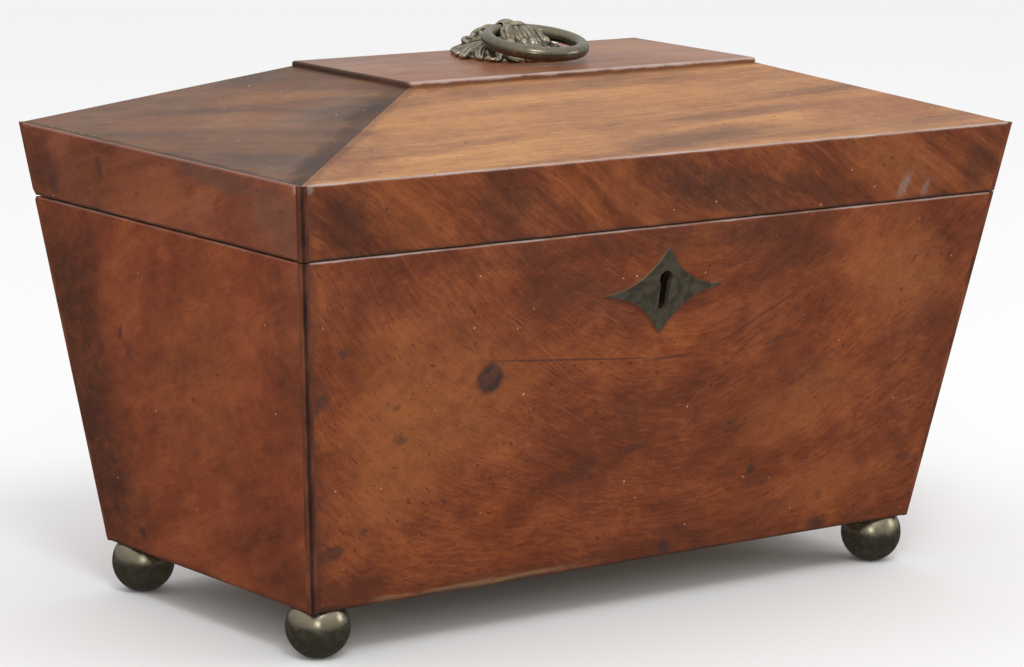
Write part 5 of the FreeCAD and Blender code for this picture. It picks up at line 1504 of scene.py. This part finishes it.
    def face(self) -> list[Piece]:
        """Models forehead, brows, eyes, cheeks, nose, whisker pads, ears and forelock.

        Returns:
            The lumps and strands of the face.
        """
        brow = ((1.2, 15.6, 9.0), (3.2, 17.2, 9.2), (5.6, 17.3, 8.5), (7.8, 15.6, 6.9), (8.8, 13.8, 5.8))
        lid = ((2.6, 14.0, 7.6), (3.8, 12.9, 7.9), (5.2, 12.8, 7.6), (6.4, 13.4, 6.9), (7.2, 14.6, 6.2))
        ear = ((8.4, 17.6, 4.8), (8.6, 20.2, 5.4), (10.4, 21.9, 5.2), (12.2, 20.4, 4.7), (11.6, 17.8, 4.0))
        fore_curl = ((0.7, 18.4, 8.2), (1.8, 21.2, 7.8), (3.8, 23.2, 6.6), (5.8, 23.2, 5.8), (6.8, 21.4, 5.6))
        rear_curl = ((0.6, 20.4, 7.2), (1.4, 23.8, 6.2), (2.6, 26.8, 4.2), (4.6, 28.0, 3.0), (6.4, 26.8, 2.8))
        forms = [
            self.lump(0.0, 18.2, 8.4, (7.4, 6.4, 4.8)),
            self.lump(0.0, 11.6, 12.6, (3.7, 6.4, 4.6)),
            self.lump(0.0, 10.4, 12.0, (5.2, 5.4, 5.4)),
            self.lump(0.0, 6.2, 12.5, (3.7, 1.9, 2.2)),
            self.lump(0.0, 16.6, 10.2, (2.9, 4.6, 3.6)),
        ]
        for side in (-1.0, 1.0):
            forms += [
                self.lump(side * 3.4, 6.4, 11.4, (3.5, 3.9, 4.2), side * 16.0),
                self.lump(side * 4.7, 14.5, 8.9, (1.6, 1.3, 1.5)),
                self.lump(side * 8.0, 12.4, 6.2, (3.6, 4.6, 3.4)),
                self.strand(brow, (1.0, 1.5, 1.6, 1.3, 0.8), side),
                self.strand(lid, (0.4, 0.65, 0.7, 0.65, 0.4), side),
                self.lump(side * 10.3, 19.4, 5.3, (2.0, 2.4, 2.2), side * 30.0),
                self.strand(ear, (0.8, 1.0, 1.1, 1.0, 0.7), side),
                self.strand(fore_curl, (1.2, 1.8, 1.8, 1.5, 1.0), side),
                self.strand(rear_curl, (1.2, 1.8, 1.7, 1.3, 0.9), side),
            ]
        return forms

    def beard(self) -> list[Piece]:
        """Models the chin and the two tiers of curling locks that fall from it towards the front.

        Returns:
            The chin, the throat and the locks.
        """
        lower = ((6.0, 6.6), (9.0, 6.8), (11.8, 5.6), (14.2, 3.9), (16.0, 2.6))
        upper = ((4.2, 9.6), (6.4, 10.0), (8.8, 8.8), (11.0, 7.0), (12.6, 5.4))
        tiers = (
            (self.lock(lower, 7.4, 8.0, 1.95), (-146.0, -124.0, -102.0)),
            (self.lock(lower, 7.4, -8.0, 1.95), (-34.0, -56.0, -78.0)),
            (self.lock(upper, 9.6, 9.0, 2.1), (-137.0, -112.0)),
            (self.lock(upper, 9.6, -9.0, 2.1), (-43.0, -68.0)),
            (self.lock(upper, 9.0, 0.0, 2.2), (-90.0,)),
        )
        chin = self.lump(0.0, 3.4, 10.6, (4.6, 4.6, 6.0))
        return [chin, self.lump(0.0, 1.0, 7.4, (6.2, 7.4, 5.0)), *self.ranged(tiers)]

    def stud(self) -> Piece:
        """Models the stud that goes down through the lid to its nut, with a softened foot.

        Returns:
            The stud.
        """
        deselect()
        length = self.lid_top - self.stud_foot + self.stud_lap
        bpy.ops.mesh.primitive_cylinder_add(vertices=32, radius=self.stud_radius * MM, depth=length * MM,
                                            location=self.at(0.0, self.stud_back, self.stud_lap - length / 2))
        rod = bpy.context.object
        apply_modifier(rod, "BEVEL", width=self.stud_edge * MM, segments=2)
        return join([rod], "mask_stud")

    def mouth_room(self) -> Piece:
        """Models the room that the ring turns in: a waisted barrel, spun about the ring's axis.

        Returns:
            The cutter.
        """
        steps = 12
        inner = self.ring_radius - self.ring_tube / 2 - self.ring_room
        axis = self.at(0.0, self.ring_axis_back, self.ring_axis_height)
        deselect()
        bpy.ops.mesh.primitive_circle_add(vertices=3, radius=MM, location=axis)
        piece = bpy.context.object
        edit(piece)
        bpy.ops.mesh.delete(type="VERT")
        take([piece])
        rim = [(-self.mouth_half, 0.0)]
        for index in range(steps + 1):
            x = self.mouth_half * (2 * index / steps - 1)
            rim.append((x, self.ring_radius - math.sqrt(inner ** 2 - x ** 2)))
        rim.append((self.mouth_half, 0.0))
        edges = [(index, index + 1) for index in range(len(rim) - 1)]
        piece.data.from_pydata([(x * MM, 0.0, radius * MM) for x, radius in rim], edges, [])
        edit(piece)
        bpy.ops.mesh.spin(steps=48, angle=2 * math.pi, center=axis, axis=(1.0, 0.0, 0.0))
        bpy.ops.mesh.select_all(action="SELECT")
        bpy.ops.mesh.remove_doubles(threshold=self.room_merge * MM)
        bpy.ops.mesh.normals_make_consistent(inside=False)
        return join([piece], "mouth_room")

    def ring_channel(self) -> Piece:
        """Models the room round the lying ring, a ring of a little thicker bar.

        Returns:
            The cutter.
        """
        deselect()
        tilt = math.radians(self.ring_tilt)
        centre = self.at(0.0, self.ring_axis_back - self.ring_radius * math.cos(tilt),
                         self.ring_axis_height - self.ring_radius * math.sin(tilt))
        bpy.ops.mesh.primitive_torus_add(location=centre, rotation=(tilt, 0.0, 0.0),
                                         major_radius=self.ring_radius * MM,
                                         minor_radius=(self.ring_tube / 2 + self.ring_room) * MM,
                                         major_segments=96, minor_segments=24)
        return join([bpy.context.object], "ring_channel")

    def open_mouth(self, mask: Piece) -> None:
        """Cuts the ring's room out of the mask.

        Args:
            mask: The cast mask.
        """
        for cutter in (self.mouth_room(), self.ring_channel()):
            apply_modifier(mask, "BOOLEAN", operation="DIFFERENCE", solver="MANIFOLD", object=cutter)
            bpy.data.objects.remove(cutter)

    def seat(self, mask: Piece) -> None:
        """Cuts the mask's back flat, so that it lies on the lid.

        Args:
            mask: The cast mask.
        """
        edit(mask)
        bpy.ops.mesh.bisect(plane_co=self.at(0.0, 0.0, self.seat_height), plane_no=(0.0, 0.0, 1.0),
                            use_fill=False, clear_inner=True)
        bpy.ops.mesh.select_all(action="SELECT")
        bpy.ops.mesh.remove_doubles(threshold=self.seat_merge * MM)
        bpy.ops.mesh.fill_holes(sides=0)
        bpy.ops.mesh.select_all(action="SELECT")
        bpy.ops.mesh.delete_loose()
        bpy.ops.mesh.select_all(action="SELECT")
        bpy.ops.mesh.quads_convert_to_tris()
        take([mask])

    def note_hollows(self, mask: Piece) -> None:
        """Writes how hollow each point is, from 0 on a ridge to 1 in a groove, for the patina to follow.

        Args:
            mask: The cast mask.
        """
        mesh = mask.data
        count = len(mesh.vertices)
        places = np.empty(count * 3)
        mesh.vertices.foreach_get("co", places)
        places = places.reshape(-1, 3)
        normals = np.empty(count * 3)
        mesh.vertices.foreach_get("normal", normals)
        normals = normals.reshape(-1, 3)
        ends = np.empty(len(mesh.edges) * 2, dtype=np.int64)
        mesh.edges.foreach_get("vertices", ends)
        first, second = ends.reshape(-1, 2).T
        degree = np.bincount(ends, minlength=count)[:, None]
        smooth = places.copy()
        for _ in range(self.hollow_rounds):
            total = np.zeros_like(smooth)
            np.add.at(total, first, smooth[second])
            np.add.at(total, second, smooth[first])
            smooth = total / np.maximum(degree, 1)
        depth = ((smooth - places) * normals).sum(axis=1) / MM
        hollow = np.clip(0.5 + depth * self.hollow_gain, 0.0, 1.0)
        attribute = mesh.attributes.new("hollow", "FLOAT", "POINT")
        attribute.data.foreach_set("value", hollow.astype(np.float32))


@dataclass
class LockAndPlates:
    """The escutcheon, the box lock behind it and the link plate in the lid."""

    edge: float = 0.5
    slope_run: float = 0.6
    merge: float = 0.001
    front_facing: float = 0.99
    flat_facing: float = 0.97
    flat_hollow: float = 0.62
    flat_angle: float = 1.0
    smooth_angle: float = 20.0

    def build(self) -> None:
        """Softens the escutcheon's edges and dresses the lock."""
        brass = OldBrass("escutcheon_brass", (0.235, 0.2, 0.142), (0.265, 0.228, 0.162), (0.62, 0.54, 0.4),
                         worn_share=0.9, grime_share=0.12, roughness=0.32, texture=0.1,
                         hollow_attribute="hollow")
        finish_piece(self.softened_plate(), "carcase", "escutcheon", brass)
        inner = OldBrass("lock_brass", (0.16, 0.12, 0.062), (0.24, 0.18, 0.09), (0.5, 0.37, 0.17),
                         worn_share=0.7, grime_share=0.5, roughness=0.3, texture=0.2)
        paint(inner, "lock_case", "lock_selvedge", "lock_screws", "link_plate", "link_staples",
              "link_plate_screws")
        paint(DullSteel(), "lock_bolt", "lock_drill_pin")

    def softened_plate(self) -> Piece:
        """Models a copy of the escutcheon with a filed slope round its front.

        Returns:
            The new plate.
        """
        piece = bpy.data.objects.new("escutcheon_plate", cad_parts["escutcheon"].data.copy())
        bpy.context.scene.collection.objects.link(piece)
        edit(piece)
        bpy.ops.mesh.remove_doubles(threshold=self.merge * MM)
        bpy.ops.mesh.dissolve_limited(angle_limit=math.radians(self.flat_angle))
        bpy.ops.mesh.customdata_custom_splitnormals_clear()
        bpy.ops.object.mode_set(mode="OBJECT")
        outward = Vector((0.0, -1.0, -CANT)).normalized()
        for face in piece.data.polygons:
            face.select = face.normal.dot(outward) > self.front_facing
        bpy.ops.object.mode_set(mode="EDIT")
        bpy.ops.transform.translate(value=outward * -self.edge * MM)
        bpy.ops.mesh.inset(thickness=self.slope_run * MM, depth=self.edge * MM, use_even_offset=False)
        bpy.ops.object.mode_set(mode="OBJECT")
        bpy.ops.object.shade_smooth_by_angle(angle=math.radians(self.smooth_angle))
        hollow = piece.data.attributes.new("hollow", "FLOAT", "FACE")
        for face, note in zip(piece.data.polygons, hollow.data):
            note.value = self.flat_hollow if face.normal.dot(outward) > self.flat_facing else 0.0
        return piece


@dataclass
class Hinges:
    """The two brass butt hinges at the back, with their steel pins and screws."""

    def dress(self) -> None:
        """Gives leaves and screws a brighter brass than the outside, and the pins steel."""
        brass = OldBrass("hinge_brass", (0.14, 0.105, 0.055), (0.2, 0.15, 0.08), (0.45, 0.33, 0.15),
                         worn_share=0.6, grime_share=0.6, roughness=0.33, texture=0.2)
        paint(brass, "hinge_left_lower_leaf", "hinge_left_upper_leaf", "hinge_right_lower_leaf",
              "hinge_right_upper_leaf", "hinge_lower_screws", "hinge_upper_screws")
        paint(DullSteel("pin_steel"), "hinge_left_pin", "hinge_right_pin")


@dataclass
class TeaWells:
    """The inside: partitions and ledges, two lidded wells, and the glass bowl in its board."""

    fresh: Tones = ((0.1, 0.03, 0.012), (0.22, 0.068, 0.024), (0.34, 0.12, 0.042))

    def dress(self) -> None:
        """Gives the inner woods a fresher, less faded mahogany, the knobs brass and the bowl glass."""
        upright = Mahogany("partition_mahogany", Facing.END, (20.0, 420.0, 10.0), 0.0, self.fresh, cross=0.05,
                           specks=0.0, roughness=0.45)
        paint(upright, "partition_left", "partition_right", "bowl_ledge_left", "bowl_ledge_right")
        flat = Mahogany("bowl_board_mahogany", Facing.FLAT, (330.0, 240.0, 30.0), 90.0, self.fresh, cross=0.1,
                        specks=0.0, roughness=0.38)
        paint(flat, "bowl_board", "tea_ledges_left", "tea_ledges_right")
        for side, seed in (("left", (410.0, -130.0, 12.0)), ("right", (-430.0, 170.0, 42.0))):
            lid = Mahogany(f"tea_lid_{side}_mahogany", Facing.FLAT, seed, 86.0, self.fresh, cross=0.14,
                           specks=0.01, roughness=0.34)
            paint(lid, f"tea_lid_{side}")
        knob = OldBrass("knob_brass", (0.2, 0.15, 0.075), (0.28, 0.21, 0.1), (0.55, 0.41, 0.18),
                        worn_share=0.8, grime_share=0.4, roughness=0.24, texture=0.12)
        paint(knob, "tea_lid_knob_left", "tea_lid_knob_right")
        paint(BlownGlass(), "mixing_bowl")


@dataclass
class Studio:
    """The pale floor, the soft light and the camera at the photograph's viewing angle."""

    azimuth: float = -0.665696425
    elevation: float = 0.186735265
    roll: float = 0.0231678972
    distance: float = 1419.81
    target: Point = (-3.794, 0.0, 86.155)
    lens: float = 144.09
    sensor: float = 36.0
    near: float = 0.05
    far: float = 50.0
    floor_half: float = 6.0
    zenith: float = 1.12
    zenith_up: float = 0.9
    horizon: float = 0.42
    below: float = 0.06
    skyline: tuple[float, float] = (-0.06, 0.02)
    lamp_aim: Point = (0.0, 0.0, 0.09)

    def build(self) -> None:
        """Makes floor, light and camera."""
        bpy.context.scene.view_settings.view_transform = "Standard"
        self.lay_floor()
        self.light()
        self.set_camera()

    def lay_floor(self) -> None:
        """Lays a large pale floor with a faint unevenness."""
        deselect()
        bpy.ops.mesh.primitive_plane_add(size=2 * self.floor_half, location=(0.0, 0.0, 0.0))
        floor = bpy.context.object
        floor.name = "floor"
        floor.data.materials.append(PaleFloor().make())
        floor.visible_glossy = False

    def light(self) -> None:
        """Sets a soft sky that is brightest overhead, and three lamps."""
        world = bpy.data.worlds.new("studio")
        bpy.context.scene.world = world
        world.use_nodes = True
        world.node_tree.nodes.clear()
        bench = NodeBench(world.node_tree)
        _, _, up = bench.split(bench.add("TexCoord").outputs["Generated"])
        sky = bench.spread(up, 0.0, self.zenith_up, self.horizon, self.zenith)
        ground = bench.spread(up, *self.skyline, 0.0, 1.0)
        level = bench.math("ADD", bench.math("MULTIPLY", sky, ground), self.below)
        background = bench.add("Background", {"Color": (1.0, 1.0, 1.0), "Strength": level})
        bench.add("OutputWorld", {"Surface": background.outputs[0]})
        self.lamp("key", (-0.7, -1.3, 1.9), 0.6, 12.0)
        self.lamp("fill", (1.7, -1.2, 0.8), 0.65, 5.2)
        self.lamp("low", (-1.2, -1.5, 0.6), 0.5, 4.2)

    def lamp(self, name: str, place: Point, size: float, power: float) -> None:
        """Hangs one square lamp that looks at the caddy.

        Args:
            name: The lamp's name.
            place: Where it hangs, in metres.
            size: The length of its side.
            power: Its power in watts.
        """
        deselect()
        bpy.ops.object.light_add(type="AREA", location=place)
        lamp = bpy.context.object
        lamp.name = name
        lamp.data.shape = "SQUARE"
        lamp.data.size = size
        lamp.data.energy = power
        away = Vector(place) - Vector(self.lamp_aim)
        lamp.rotation_mode = "QUATERNION"
        lamp.rotation_quaternion = away.to_track_quat("Z", "Y")

    def set_camera(self) -> None:
        """Puts the camera where the photograph was taken from."""
        level = math.cos(self.elevation)
        right = Vector((math.cos(self.azimuth), math.sin(self.azimuth), 0.0))
        back = Vector((right.y * level, -right.x * level, math.sin(self.elevation)))
        upright = back.cross(right)
        right = math.cos(self.roll) * right + math.sin(self.roll) * upright
        upright = back.cross(right)
        place = (Vector(self.target) + self.distance * back) * MM
        deselect()
        bpy.ops.object.camera_add(location=place)
        camera = bpy.context.object
        turn = Matrix((right, upright, back)).transposed()
        camera.matrix_world = Matrix.Translation(place) @ turn.to_4x4()
        camera.data.sensor_width = self.sensor
        camera.data.lens = self.lens
        camera.data.clip_start = self.near
        camera.data.clip_end = self.far
        bpy.context.scene.camera = camera


def main() -> None:
    """Dresses the caddy and sets it in the studio."""
    logging.basicConfig(level=logging.INFO, format="%(name)s %(message)s")
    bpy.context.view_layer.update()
    deselect()
    Carcase().dress()
    HippedLid().dress()
    LionHandle().build()
    LockAndPlates().build()
    Hinges().dress()
    TeaWells().dress()
    Studio().build()


if __name__ == "__main__":
    main()
